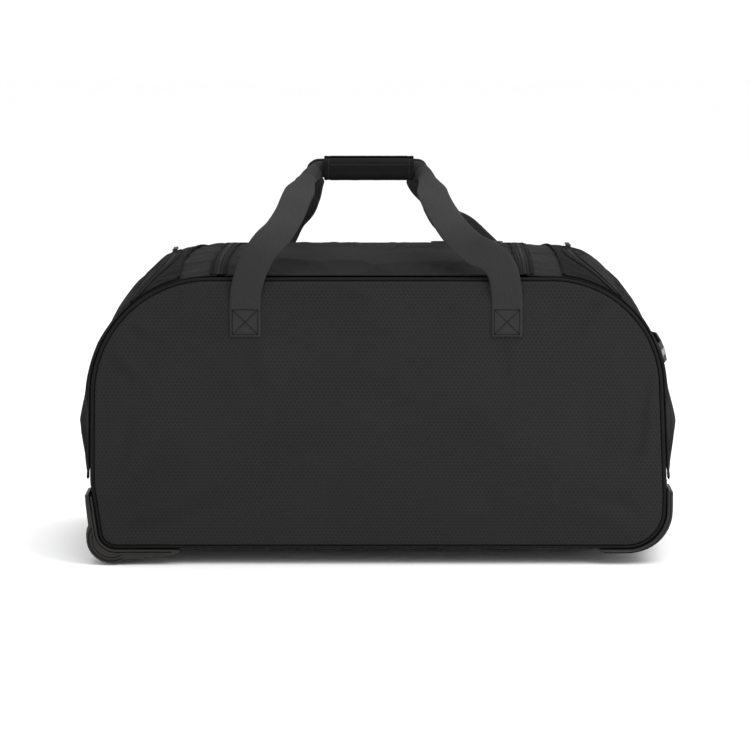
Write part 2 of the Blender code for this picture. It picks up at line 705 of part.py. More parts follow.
# ---------------------------------------------------------------- wheels
def wheel_housing(side, name):
    """Moulded guard around the bag's lower corner, with the well that the wheel turns in."""
    body = rounded_path(OUTLINE)
    inner = [point for point in offset(body, GUARD_CLEAR) if point.x < -0.2640 and point.y < 0.0930]
    inner.insert(0, Vector((-0.2640, BASE - GUARD_CLEAR)))
    rim = arc((WHEEL.x, WHEEL.z), GUARD_RADIUS, 155, 302, 14)
    outer = [Vector((-0.3792, 0.0938)), Vector((-0.3838, 0.0925)), Vector((-0.3828, 0.0790))]
    outer += rim
    outer += [Vector((-0.2680, 0.0136)), Vector((-0.2602, 0.0172))]
    low, high = sorted((-side * GUARD_Y[0], -side * GUARD_Y[1]))
    guard = as_mesh(plate(name + "_wheel_housing", inner + outer, low, high))
    drum = as_mesh(plate("wheel_drum", offset(body, 2 * GUARD_CLEAR), *sorted((-side * y for y in DRUM_Y))))
    beyond = side * 0.01
    boolean(drum, rod("drum_round", (WHEEL.x, -side * DRUM_Y[0] + beyond, WHEEL.z),
                      (WHEEL.x, -side * DRUM_Y[1] - beyond, WHEEL.z), DRUM_RADIUS, 32), "INTERSECT")
    boolean(guard, drum, "UNION")
    well = rod("wheel_well", (WHEEL.x, -side * WELL_Y[0], WHEEL.z), (WHEEL.x, -side * WELL_Y[1], WHEEL.z),
               WELL_RADIUS, 32)
    boolean(guard, well)
    bore = rod("axle_bore", (WHEEL.x, -side * (AXLE_Y[0] - GAP), WHEEL.z),
               (WHEEL.x, -side * (AXLE_Y[1] + 0.004), WHEEL.z), AXLE_BORE, 12)
    boolean(guard, bore)
    keep(guard, "moulding")


def wheel(side, name):
    centre = Vector((WHEEL.x, -side * WHEEL.y, WHEEL.z))
    tyre = turned(name + "_wheel_tyre", (
        (TYRE_BORE, TYRE_HALF), (0.0312, TYRE_HALF), (0.0337, 0.0100), (WHEEL_RADIUS, 0.0060),
        (WHEEL_RADIUS, -0.0060), (0.0337, -0.0100), (0.0312, -TYRE_HALF), (TYRE_BORE, -TYRE_HALF),
    ), centre, 32)
    keep(tyre, "tyre")
    hub = turned(name + "_wheel_hub", (
        (AXLE_BORE, HUB_HALF), (0.0080, HUB_HALF), (0.0100, 0.0050), (0.0220, 0.0050), (0.0240, HUB_HALF),
        (TYRE_BORE - GAP, HUB_HALF), (TYRE_BORE - GAP, -HUB_HALF), (0.0240, -HUB_HALF),
        (0.0220, -0.0050), (0.0100, -0.0050), (0.0080, -HUB_HALF), (AXLE_BORE, -HUB_HALF),
    ), centre, 24)
    keep(hub, "moulding")
    keep(rod(name + "_axle", (WHEEL.x, -side * AXLE_Y[0], WHEEL.z), (WHEEL.x, -side * AXLE_Y[1], WHEEL.z),
             AXLE_RADIUS, 12), "steel")


def corner_guard(side, name):
    """Moulded guard around the lower corner at the pull handle's end."""
    body = rounded_path(OUTLINE)
    inner = [point for point in offset(body, GUARD_CLEAR) if point.x > 0.2900 and point.y < 0.0985]
    inner = inner + [Vector((0.2900, BASE - GUARD_CLEAR))]
    outer = rounded_path((
        (0.2900, 0.0162, 0.0), (0.3848, 0.0154, 0.056), (0.3848, 0.0975, 0.002), (0.3784, 0.0998, 0.0),
    ), closed=False)
    low, high = sorted((-side * GUARD_Y[0], -side * GUARD_Y[1]))
    keep(as_mesh(plate(name + "_corner_guard", inner + outer, low, high)), "moulding")


# ---------------------------------------------------------------- base and pull handle
def base_structure():
    keep(box("base_board", (-0.3050, -0.1690, BOARD_Z[0]), (0.3350, 0.1690, BOARD_Z[1])), "board")
    bracket = box("tube_bracket", BRACKET_LOW, BRACKET_HIGH, 0.002)
    keep(bracket, "moulding")
    for side, name in ((-1, "front"), (1, "rear")):
        inner_y, outer_y = (side * y for y in FOOT_Y)
        foot = box(name + "_stand_foot", (FOOT_X[0], min(inner_y, outer_y), 0.0),
                   (FOOT_X[1], max(inner_y, outer_y), BASE - GAP), 0.003)
        keep(foot, "moulding")


def hollow_tube(name, ends, radii, y):
    outer = rod(name, (ends[0], y, TUBE_Z), (ends[1], y, TUBE_Z), radii[0], 24)
    bore = rod(name + "_bore", (ends[0] - 0.01, y, TUBE_Z), (ends[1] + 0.01, y, TUBE_Z), radii[1], 24)
    return boolean(outer, bore)


def pull_handle():
    for side, name in ((-1, "front"), (1, "rear")):
        y = side * TUBE_Y
        keep(hollow_tube(name + "_outer_tube", OUTER_TUBE_X, OUTER_TUBE, y), "aluminium")
        inner = hollow_tube(name + "_inner_tube", INNER_TUBE_X, INNER_TUBE, y)
        boolean(inner, rod(name + "_pin_hole", (PIN_X, y, TUBE_Z - 0.012), (PIN_X, y, TUBE_Z), 0.0023, 12))
        keep(inner, "steel")
        keep(rod(name + "_push_rod", (ROD_X[0], y, TUBE_Z), (ROD_X[1], y, TUBE_Z), ROD_RADIUS, 10), "steel")
        keep(rod(name + "_lock_pin", (PIN_X, y, PIN_Z[0]), (PIN_X, y, PIN_Z[1]), PIN_RADIUS, 10), "steel")

    bezel = box("handle_bezel", BEZEL_LOW, BEZEL_HIGH, 0.003)
    wall = Vector((BEZEL_WALL, BEZEL_WALL, BEZEL_WALL))
    cup = box("bezel_cup", BEZEL_LOW + wall, BEZEL_HIGH + Vector((0.02, -BEZEL_WALL, -BEZEL_WALL)))
    boolean(bezel, cup)
    for side in (-1, 1):
        hole = rod("tube_hole", (0.3300, side * TUBE_Y, TUBE_Z), (0.3450, side * TUBE_Y, TUBE_Z), 0.0078, 24)
        boolean(bezel, hole)
    keep(bezel, "moulding")

    grip = box("pull_grip", GRIP_LOW, GRIP_HIGH, 0.003)
    middle_z = (GRIP_LOW.z + GRIP_HIGH.z) / 2
    pocket = box("button_pocket",
                 (0.3725, -BUTTON_HALF.y - GAP, middle_z - BUTTON_HALF.z - GAP),
                 (0.3900, BUTTON_HALF.y + GAP, middle_z + BUTTON_HALF.z + GAP))
    boolean(grip, pocket)
    keep(grip, "moulding")
    middle = Vector((BUTTON_X, 0.0, middle_z))
    keep(box("release_button", middle - BUTTON_HALF, middle + BUTTON_HALF, 0.001), "moulding")


def main():
    long_panels()
    gussets()
    lid_and_main_zip()
    main_sliders()
    for end, name in ((-1, "wheel"), (1, "handle")):
        end_pocket(end, name)
        pocket_zip(end, name)
    grab_loop()
    for side, name in ((-1, "front"), (1, "rear")):
        carrying_handle(side, name)
        wheel_housing(side, name)
        wheel(side, name)
        corner_guard(side, name)
    base_structure()
    pull_handle()


main()
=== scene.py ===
"""Looks of the rolling duffel bag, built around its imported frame.

Metres, +Z up, in the frame's own axes: the long front side faces -Y, the wheels are at -X and the pull
handle comes out at +X. Fabric pieces are laid on the same outline as the frame's sewn pieces, by the
distance along it, and each carries its own cloth coordinates in metres for the weave.
"""
import contextlib
import functools
import math

import bmesh
import bpy
import numpy as np
from mathutils import Matrix, Vector, noise


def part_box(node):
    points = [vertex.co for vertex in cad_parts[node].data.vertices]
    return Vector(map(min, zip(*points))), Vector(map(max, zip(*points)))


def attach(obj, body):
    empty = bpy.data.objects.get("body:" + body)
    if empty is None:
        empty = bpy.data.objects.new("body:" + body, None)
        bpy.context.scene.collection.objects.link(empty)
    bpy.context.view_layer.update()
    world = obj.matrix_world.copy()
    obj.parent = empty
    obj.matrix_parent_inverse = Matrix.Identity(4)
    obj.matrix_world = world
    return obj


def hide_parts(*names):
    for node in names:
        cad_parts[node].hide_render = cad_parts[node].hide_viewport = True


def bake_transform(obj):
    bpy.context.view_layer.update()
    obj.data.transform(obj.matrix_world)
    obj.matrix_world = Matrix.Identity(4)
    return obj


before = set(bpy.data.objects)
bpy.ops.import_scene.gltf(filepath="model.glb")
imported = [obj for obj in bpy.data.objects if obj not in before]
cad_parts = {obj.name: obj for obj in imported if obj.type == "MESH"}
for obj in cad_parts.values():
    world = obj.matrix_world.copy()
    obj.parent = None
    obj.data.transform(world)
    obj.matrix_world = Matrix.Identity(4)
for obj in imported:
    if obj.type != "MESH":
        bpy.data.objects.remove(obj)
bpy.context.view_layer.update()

# ---------------------------------------------------------------- sizes read from the frame
PANEL_LOW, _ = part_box("front_panel")
PIPING_LOW, PIPING_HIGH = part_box("front_piping")
BASE_LOW, BASE_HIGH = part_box("base_panel")
LID_LOW, LID_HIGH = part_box("lid_panel")
LID_TAPE_LOW, LID_TAPE_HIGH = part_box("lid_zip_tape")
BODY_TAPE_LOW, BODY_TAPE_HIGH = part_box("body_zip_tape")
STRIP_LOW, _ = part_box("rear_top_strip")
ANCHOR_LOW, ANCHOR_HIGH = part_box("front_strap_anchor_wheel")
ANCHOR2_LOW, ANCHOR2_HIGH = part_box("front_strap_anchor_handle")
REAR_ANCHOR_LOW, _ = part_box("rear_strap_anchor_wheel")
GRIP_LOW, GRIP_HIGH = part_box("front_grip_wrap")
REAR_GRIP_LOW, REAR_GRIP_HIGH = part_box("rear_grip_wrap")
TYRE_LOW, TYRE_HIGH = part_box("front_wheel_tyre")
HUB_LOW, HUB_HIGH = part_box("front_wheel_hub")
HOUSING_LOW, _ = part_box("front_wheel_housing")
LOOP_LOW, LOOP_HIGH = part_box("grab_loop")
BEZEL_LOW, BEZEL_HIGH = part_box("handle_bezel")

FACE = -PANEL_LOW.y                                   # outer face of the long panels
GUSSET_HALF = BASE_HIGH.y                             # half width of the strip between them
PIPING_RADIUS = (PIPING_HIGH.y - PIPING_LOW.y) / 2
PIPING_Y = -(PIPING_HIGH.y + PIPING_LOW.y) / 2
PIPING_INSET = 0.0027                                 # its middle, inside the outline
TOP = PIPING_HIGH.z + PIPING_INSET - PIPING_RADIUS
BASE = PIPING_LOW.z - PIPING_INSET + PIPING_RADIUS
PANEL_INSET = PANEL_LOW.z - BASE
HALF_LENGTH = (PIPING_HIGH.x - PIPING_LOW.x) / 2 + PIPING_INSET - PIPING_RADIUS
CHAIN_X = ((LID_TAPE_LOW.x + BODY_TAPE_LOW.x) / 2, (LID_TAPE_HIGH.x + BODY_TAPE_HIGH.x) / 2)
CHAIN_Y = (LID_TAPE_HIGH.y + BODY_TAPE_HIGH.y) / 2
WEBBING = ANCHOR_HIGH.x - ANCHOR_LOW.x
WEBBING_THICK = ANCHOR_HIGH.y - ANCHOR_LOW.y
PATCH_TOP = ANCHOR_HIGH.z
REAR_SHIFT = REAR_ANCHOR_LOW.x - ANCHOR_LOW.x
GRIP_Z = (GRIP_LOW.z + GRIP_HIGH.z) / 2
REAR_RISE = (REAR_GRIP_LOW.z + REAR_GRIP_HIGH.z) / 2 - GRIP_Z
WHEEL = (TYRE_LOW + TYRE_HIGH) / 2

# ---------------------------------------------------------------- sizes of the sewn shell
OUTLINE = (                 # x, z and fillet radius of each corner, from the middle of the base
    (0.0, BASE, 0.0),
    (0.0120 - HALF_LENGTH, BASE, 0.024),
    (-HALF_LENGTH, 0.107, 0.080),
    (0.0045 - HALF_LENGTH, TOP, 0.155),
    (HALF_LENGTH - 0.0130, TOP, 0.146),
    (HALF_LENGTH, 0.094, 0.150),
    (HALF_LENGTH, BASE, 0.052),
)
TOP_CROWN = 0.016                      # how far the top swells above the outline
END_CROWN = 0.008
STIFF_HEIGHT = (0.090, 0.115)          # the shell is flat, on its mouldings, below these heights
SHOULDER_TURN = (0.70, 0.95)           # upward share of the outline's normal where the top starts to crown
SHOULDER_HEIGHT = (0.200, 0.300)       # the ends swell below these heights
CHAIN_CORNER = 0.0085
POCKET_TOP = {-1: (-0.2590, -0.2340), 1: (0.2400, 0.2260)}   # the pocket's top seam, front and rear
POCKET_FOOT_Z = 0.115
POCKET_LIFT = 0.0024                   # a pocket's face above the gusset, where it doesn't swell
POCKET_BULGE = 0.015
POCKET_BELLY = (0.150, 0.240)          # heights between which the pocket's swelling fades out
ZIP_APEX_X = {-1: -0.2700, 1: 0.2520}
ZIP_FOOT = {-1: (-0.3240, 0.3553), 1: (0.3117, 0.3565)}
ZIP_ARCH_POWER = 2.4
FABRIC = 0.0016
CORD_SHARE = 0.86                      # the piping cord's share of its frame piece's radius
SEAM_ROLL = 0.0026                     # radius over which a long panel's edge rolls into its seam
CORE_HALF_LENGTH = 0.1715              # a panel's rings shrink to a line this long, in these steps
CORE_STEP = 0.0035
LID_TUCK = 0.0035                      # how far the lid's fabric runs under its zip tape
BINDING_RADIUS = 0.0017
TOOTH_PITCH = 0.0024
TOOTH_LENGTH = 0.0022
TOOTH_RADIUS = 0.0008
MAIN_ZIP_EDGE = ((0.0009, 0.0011), (0.0086, 0.0004), (0.0118, 0.0006))     # reach and lift of the coil,
POCKET_ZIP_EDGE = ((0.0009, 0.0013), (0.0074, 0.0006), (0.0105, 0.0003))   # the hem and the stitching
ZIP_TAPE_THICK = 0.0010
ZIP_TAPE_LIFT = 0.0009
STITCH = 0.0034
THREAD_RADIUS = 0.00042

HOUSING_RIDGE = (0.0905, -0.272)       # a ridge's height on the end, and where it ends under the base
HOUSING_RIDGE_LIFTS = (0.0016, 0.0056)
GUARD_RIDGE = (0.0955, 0.2945)
GUARD_RIDGE_LIFT = 0.0032
WHEEL_ARCH_RADII = (0.0310, 0.0265)

STRAP_LINE = (              # middle of the front handle's webbing, stitching to grip to stitching
    (-0.1731, -0.1770, 0.3409), (-0.1729, -0.1772, 0.3460), (-0.1708, -0.1812, 0.3660),
    (-0.1620, -0.1840, 0.3940), (-0.1468, -0.1790, 0.4200), (-0.1290, -0.1590, 0.4375),
    (-0.1169, -0.1280, 0.4553), (-0.1073, -0.0900, 0.4754), (-0.0960, -0.0460, 0.4930),
    (-0.0845, -0.0140, 0.5020), (-0.0726, -0.0023, GRIP_Z), (-0.0130, -0.0023, GRIP_Z),
    (0.0469, -0.0023, GRIP_Z), (0.0580, -0.0140, 0.5015), (0.0660, -0.0460, 0.4920),
    (0.0742, -0.0900, 0.4730), (0.0860, -0.1280, 0.4545), (0.0995, -0.1590, 0.4370),
    (0.1206, -0.1790, 0.4180), (0.1456, -0.1840, 0.4055), (0.1596, -0.1838, 0.3880),
    (0.1649, -0.1806, 0.3650), (0.1664, -0.1772, 0.3460), (0.1665, -0.1770, 0.3409),
)
GRIP_STRAP_WIDTH = 0.022
REAR_LEAN = {1: (0.041, 0.405), -1: (0.014, 0.395)}    # the rear handle's legs: how far in, how high
ZIP_LEAN = 0.013                       # lean of the main zip's wheel-side run at its far end
LOOP_DROP = 0.009                      # the grab loop hangs below its frame piece's middle
PANEL_CREASES = (           # from x, z to x, z, half width and depth of each soft crease
    (-0.352, 0.062, -0.270, 0.160, 0.0110, 0.00308),
    (-0.360, 0.105, -0.312, 0.205, 0.0090, 0.00252),
    (-0.330, 0.045, -0.190, 0.085, 0.0120, 0.00224),
    (-0.364, 0.300, -0.318, 0.225, 0.0090, 0.00252),
    (-0.345, 0.335, -0.292, 0.285, 0.0080, 0.00196),
    (0.370, 0.255, 0.325, 0.170, 0.0100, 0.00308),
    (0.371, 0.205, 0.312, 0.130, 0.0110, 0.00280),
    (0.300, 0.350, 0.236, 0.300, 0.0090, 0.00252),
    (0.345, 0.060, 0.270, 0.100, 0.0110, 0.00224),
    (-0.173, 0.300, -0.163, 0.215, 0.0120, 0.00196),
    (0.166, 0.300, 0.158, 0.225, 0.0120, 0.00196),
    (-0.060, 0.372, -0.020, 0.335, 0.0100, 0.00112),
)
CAMERA_FOCAL = 164.9                   # mm, on a sensor 36 mm wide
CAMERA_PITCH = 8.2                     # degrees below the level
CAMERA_PLACE = (-0.0047, -4.594, 0.8879)
UP, DOWN = np.array([0.0, 0.0, 1.0]), np.array([0.0, 0.0, -1.0])


# ---------------------------------------------------------------- outline and skin
def rounded_path(corners, step=math.radians(2.0), closed=True):
    """Points of a polygon whose corners (x, y, radius) are filleted."""
    points = []
    count = len(corners)
    for index, (x, y, radius) in enumerate(corners):
        here = Vector((x, y))
        if radius == 0.0 or (not closed and index in (0, count - 1)):
            points.append(here)
            continue
        before = (Vector(corners[index - 1][:2]) - here).normalized()
        after = (Vector(corners[(index + 1) % count][:2]) - here).normalized()
        half = before.angle(after) / 2
        centre = here + (before + after).normalized() * radius / math.sin(half)
        arm = here + before * radius / math.tan(half) - centre
        turn = math.copysign(math.pi - 2 * half, -before.cross(after))
        pieces = max(1, math.ceil(abs(turn) / step))
        for piece in range(pieces + 1):
            spoke = arm.copy()
            spoke.rotate(Matrix.Rotation(turn * piece / pieces, 2))
            points.append(centre + spoke)
    return points


def run_along(line):
    """Distance along a polyline at each of its points."""
    return np.concatenate([[0.0], np.cumsum(np.linalg.norm(np.diff(line, axis=0), axis=1))])


def between(at, run, rows):
    """The row at a distance, between the rows at the distances in run."""
    return np.array([np.interp(at, run, rows[:, k]) for k in range(rows.shape[1])])


def unit(vectors):
    return vectors / np.linalg.norm(vectors, axis=-1)[..., None]


def resample(points, count, closed=False):
    """Points evenly spaced along a polyline, as an array, and its length."""
    line = np.array([tuple(point) for point in points])
    if closed:
        line = np.vstack([line, line[:1]])
    run = run_along(line)
    at = np.linspace(0.0, run[-1], count, endpoint=not closed)
    return np.stack([np.interp(at, run, line[:, k]) for k in range(line.shape[1])], axis=1), run[-1]


RIM, RIM_LENGTH = resample(rounded_path(OUTLINE), 2400, closed=True)
_ahead = unit(np.roll(RIM, -6, axis=0) - np.roll(RIM, 6, axis=0))
RIM_OUT = np.stack([-_ahead[:, 1], _ahead[:, 0]], axis=1)
_span = np.arange(len(RIM) + 1) * RIM_LENGTH / len(RIM)


def on_rim(distance):
    """x, z and outward direction of the outline at a distance along it."""
    at = np.mod(distance, RIM_LENGTH)
    return [np.interp(at, _span, np.append(table[:, k], table[0, k]))
            for table in (RIM, RIM_OUT) for k in (0, 1)]


def along_rim(x, z):
    return float(np.argmin((RIM[:, 0] - x) ** 2 + (RIM[:, 1] - z) ** 2)) * RIM_LENGTH / len(RIM)


def smooth_step(value, low, high):
    t = np.clip((value - low) / (high - low), 0.0, 1.0)
    return t * t * (3 - 2 * t)


def skin(distance, y, lift=0.0):
    """Points of the filled bag's outer surface, or lifted off it."""
    x, z, out_x, out_z = on_rim(distance)
    across = np.abs(y) / FACE
    past_lid = smooth_step(np.maximum(BODY_TAPE_LOW.x - x, x - BODY_TAPE_HIGH.x), 0.0, 0.025)
    on_top = TOP_CROWN * smooth_step(out_z, *SHOULDER_TURN) * (1 - across ** (4 - 2 * past_lid))
    at_end = END_CROWN * (1 - smooth_step(z, *SHOULDER_HEIGHT)) * (1 - across ** 2)
    proud = (on_top + at_end) * smooth_step(z, *STIFF_HEIGHT) + lift
    return np.stack([x + out_x * proud, y + 0 * x, z + out_z * proud], axis=-1)


def lean_in(x, y):
    """How far the wheel-side run of the main zip has moved towards the middle."""
    share = np.clip((y + FACE) / (2 * FACE), 0.0, 1.0) ** 1.6
    return ZIP_LEAN * share * smooth_step(-x, 0.060, 0.185) * (1 - smooth_step(-x, 0.222, 0.262))


def cloth_noise(points, scale, seed=0.0):
    """Smooth noise from -1 to 1 at each point."""
    flat = np.reshape(points, (-1, 3)) * scale + seed
    return np.array([noise.noise(Vector(p)) for p in flat]).reshape(np.shape(points)[:-1])


# ---------------------------------------------------------------- mesh makers
def new_object(name, data):
    obj = bpy.data.objects.new(name, data)
    bpy.context.scene.collection.objects.link(obj)
    return obj


def mesh_from(name, vertices, faces, cloth=None):
    """A smooth mesh object whose points may carry cloth coordinates in metres."""
    data = bpy.data.meshes.new(name)
    data.from_pydata([tuple(v) for v in np.reshape(vertices, (-1, 3))], [], [tuple(f) for f in faces])
    if cloth is not None:
        layer = data.attributes.new("cloth", "FLOAT_VECTOR", "POINT")
        layer.data.foreach_set("vector", np.asarray(cloth, dtype=np.float32).ravel())
    data.shade_smooth()
    data.update()
    return new_object(name, data)


@contextlib.contextmanager
def edited(data):
    """A mesh opened for editing, and written back afterwards."""
    shape = bmesh.new()
    shape.from_mesh(data)
    yield shape
    shape.to_mesh(data)
    shape.free()


def grid_faces(rows, columns, wrap_rows=False, wrap_columns=False):
    faces = []
    for i in range(rows if wrap_rows else rows - 1):
        for j in range(columns if wrap_columns else columns - 1):
            k, m = (i + 1) % rows, (j + 1) % columns
            faces.append((i * columns + j, i * columns + m, k * columns + m, k * columns + j))
    return faces


def facing(points, faces, outward):
    """The same faces, turned so that the middle one looks outward."""
    flat = np.reshape(points, (-1, 3))
    a, b, c = (flat[k] for k in faces[len(faces) // 2][:3])
    if np.dot(np.cross(b - a, c - b), outward) < 0:
        return [face[::-1] for face in faces]
    return faces


def sheet(name, points, cloth, outward, closed=False):
    """A sheet from a grid of points, its columns joined in a ring if closed."""
    rows, columns = points.shape[:2]
    faces = facing(points, grid_faces(rows, columns, wrap_columns=closed), outward)
    return mesh_from(name, points, faces, cloth)


def fabric_sheet(name, points, cloth, outward, thickness=FABRIC):
    """A sheet of fabric from a grid of points, thickened behind its outer face."""
    obj = sheet(name, points, cloth, outward)
    thicken(obj, thickness)
    return obj


def thicken(obj, thickness):
    solid = obj.modifiers.new("fabric thickness", "SOLIDIFY")
    solid.thickness = thickness
    solid.offset = -1.0


def skin_grid(start, end, low_y, high_y, rows, columns):
    """Distances, widths and points of a part of the skin."""
    distance, y = np.meshgrid(np.linspace(start, end, rows), np.linspace(low_y, high_y, columns),
                              indexing="ij")
    x, z, _out_x, _out_z = on_rim(distance)
    distance = distance + lean_in(x, y) * (z > TOP - 0.02)
    return distance, y, skin(distance, y)


def cloth_of(u, v):
    return np.stack([u, v, 0 * u], axis=-1)


def normals_of(points):
    """Unit normals of a grid of points."""
    along = np.gradient(points, axis=0)
    across = np.gradient(points, axis=1)
    found = np.cross(along, across)
    return found / np.maximum(np.linalg.norm(found, axis=-1, keepdims=True), 1e-9)


def outward_normals(points, outward):
    found = normals_of(points)
    middle = found[found.shape[0] // 2, found.shape[1] // 2]
    return found if np.dot(middle, outward) > 0 else -found


def tube(name, path, radius, sides=10, closed=False, flat=1.0, up=(0.0, 1.0, 0.0)):
    """A round or flattened cord along a path of 3-D points."""
    path = np.asarray(path, dtype=float)
    count = len(path)
    run = np.roll(path, -1, axis=0) - np.roll(path, 1, axis=0) if closed else np.gradient(path, axis=0)
    run = unit(run)
    side = unit(np.cross(run, np.array(up)))
    rise = np.cross(side, run)
    radius = np.broadcast_to(radius, (count,))[:, None, None]
    angle = np.linspace(0, 2 * math.pi, sides, endpoint=False)
    ring = (np.cos(angle)[None, :, None] * side[:, None, :]
            + flat * np.sin(angle)[None, :, None] * rise[:, None, :])
    points = path[:, None, :] + radius * ring
    u = np.broadcast_to(run_along(path)[:, None], points.shape[:2])
    v = np.broadcast_to((angle * 0.001)[None, :], points.shape[:2])
    faces = grid_faces(count, sides, wrap_rows=closed, wrap_columns=True)
    faces = [face[::-1] for face in faces]
    if not closed:
        faces.append(tuple(range(sides)))
        faces.append(tuple(reversed(range((count - 1) * sides, count * sides))))
    return mesh_from(name, points, faces, cloth_of(u, v))


def copies(name, shape, places):
    """One mesh of many copies of a small shape (vertices, faces), each at a 4x4 place."""
    corners, sides = shape
    corners = np.asarray(corners)
    vertices = []
    faces = []
    for index, place in enumerate(places):
        matrix = np.array(place)
        vertices.append(corners @ matrix[:3, :3].T + matrix[:3, 3])
        faces += [tuple(index * len(corners) + k for k in side) for side in sides]
    flat = np.concatenate(vertices)
    return mesh_from(name, flat, faces, flat)


def place_of(point, along, up):
    """A 4x4 place at a point: its X runs along, its Z points up."""
    along = along / np.linalg.norm(along)
    side = np.cross(up, along)
    side /= np.linalg.norm(side)
    up = np.cross(along, side)
    matrix = np.eye(4)
    matrix[:3, 0], matrix[:3, 1], matrix[:3, 2], matrix[:3, 3] = along, side, up, point
    return matrix


def bead(length, radius, sides):
    """Vertices and faces of a thread stitch or a coil tooth: a capsule along X."""
    half = length / 2
    profile = ((-half, 0.35), (-half * 0.72, 0.85), (-half * 0.3, 1.0), (half * 0.3, 1.0),
               (half * 0.72, 0.85), (half, 0.35))
    vertices = []
    for x, share in profile:
        for k in range(sides):
            angle = 2 * math.pi * k / sides
            vertices.append((x, radius * share * math.cos(angle), radius * share * math.sin(angle)))
    faces = grid_faces(len(profile), sides, wrap_columns=True)
    last = (len(profile) - 1) * sides
    faces.append(tuple(reversed(range(sides))))
    faces.append(tuple(range(last, last + sides)))
    return vertices, faces


def stitches(name, lines, pitch=STITCH, radius=THREAD_RADIUS):
    """Thread stitches along lines of (points, outward normals)."""
    places = []
    for points, ups in lines:
        points = np.asarray(points, dtype=float)
        ups = np.broadcast_to(np.asarray(ups, dtype=float), points.shape)
        run = run_along(points)
        count = max(2, round(run[-1] / pitch))
        for k in range(count):
            at = run[-1] * (k + 0.5) / count
            ahead = between(min(at + pitch / 2, run[-1]), run, points)
            behind = between(max(at - pitch / 2, 0.0), run, points)
            places.append(place_of(between(at, run, points), ahead - behind, between(at, run, ups)))
    return copies(name, bead(pitch * 0.80, radius, 6), places)


def bevelled_plate(name, points, thickness, bevel=0.0006, holes=()):
    """A flat plate in the XY plane from an outline, its edges rounded."""
    data = bpy.data.curves.new(name, "CURVE")
    data.dimensions = "2D"
    data.fill_mode = "BOTH"
    data.extrude = thickness / 2 - bevel
    data.bevel_depth = bevel
    data.bevel_resolution = 2
    data.offset = -bevel
    for outline in (points, *holes):
        spline = data.splines.new("POLY")
        spline.points.add(len(outline) - 1)
        for point, (x, y) in zip(spline.points, outline):
            point.co = (x, y, 0.0, 1.0)
        spline.use_cyclic_u = True
    curve = new_object(name, data)
    bpy.context.view_layer.update()
    mesh = bpy.data.meshes.new_from_object(curve.evaluated_get(bpy.context.evaluated_depsgraph_get()))
    bpy.data.objects.remove(curve, do_unlink=True)
    with edited(mesh) as shape:
        bmesh.ops.remove_doubles(shape, verts=shape.verts, dist=0.00001)
        bmesh.ops.recalc_face_normals(shape, faces=shape.faces)
    mesh.shade_smooth()
    mesh.set_sharp_from_angle(angle=math.radians(50))
    return new_object(name, mesh)


def joined(name, objects):
    """Several objects' meshes as one new object, in the frame's own axes."""
    shape = bmesh.new()
    bpy.context.view_layer.update()
    depsgraph = bpy.context.evaluated_depsgraph_get()
    for obj in objects:
        mesh = bpy.data.meshes.new_from_object(obj.evaluated_get(depsgraph))
        mesh.transform(obj.matrix_world)
        shape.from_mesh(mesh)
    data = bpy.data.meshes.new(name)
    shape.to_mesh(data)
    shape.free()
    for obj in objects:
        bpy.data.objects.remove(obj, do_unlink=True)
    return new_object(name, data)


def settle(obj, pinned, pressure, slack, cap):
    """Let a sheet with slack in its weave swell and crumple as cloth, and keep the result."""
    steps = 18
    before = np.array([v.co[:] for v in obj.data.vertices])
    group = obj.vertex_groups.new(name="sewn")
    group.add([int(k) for k in pinned], 1.0, "REPLACE")
    cloth = obj.modifiers.new("cloth", "CLOTH")
    cloth.settings.quality = 5
    cloth.settings.mass = 0.2
    cloth.settings.tension_stiffness = 25
    cloth.settings.compression_stiffness = 25
    cloth.settings.shear_stiffness = 10
    cloth.settings.bending_stiffness = 0.6
    cloth.settings.vertex_group_mass = "sewn"
    cloth.settings.use_pressure = True
    cloth.settings.uniform_pressure_force = pressure
    cloth.settings.shrink_min = -slack
    cloth.settings.effector_weights.gravity = 0.0
    cloth.collision_settings.use_collision = False
    cloth.point_cache.frame_end = steps
    scene = bpy.context.scene
    for step in range(1, steps + 1):
        scene.frame_set(step)
    solved = obj.evaluated_get(bpy.context.evaluated_depsgraph_get())
    after = np.array([v.co[:] for v in solved.data.vertices][:len(before)])
    obj.modifiers.remove(cloth)
    obj.vertex_groups.remove(group)
    scene.frame_set(1)
    move = after - before
    size = np.linalg.norm(move, axis=1, keepdims=True)
    move *= np.where(size > cap, cap / np.maximum(size, 1e-9), 1.0)
    obj.data.vertices.foreach_set("co", (before + move).ravel())
    obj.data.update()


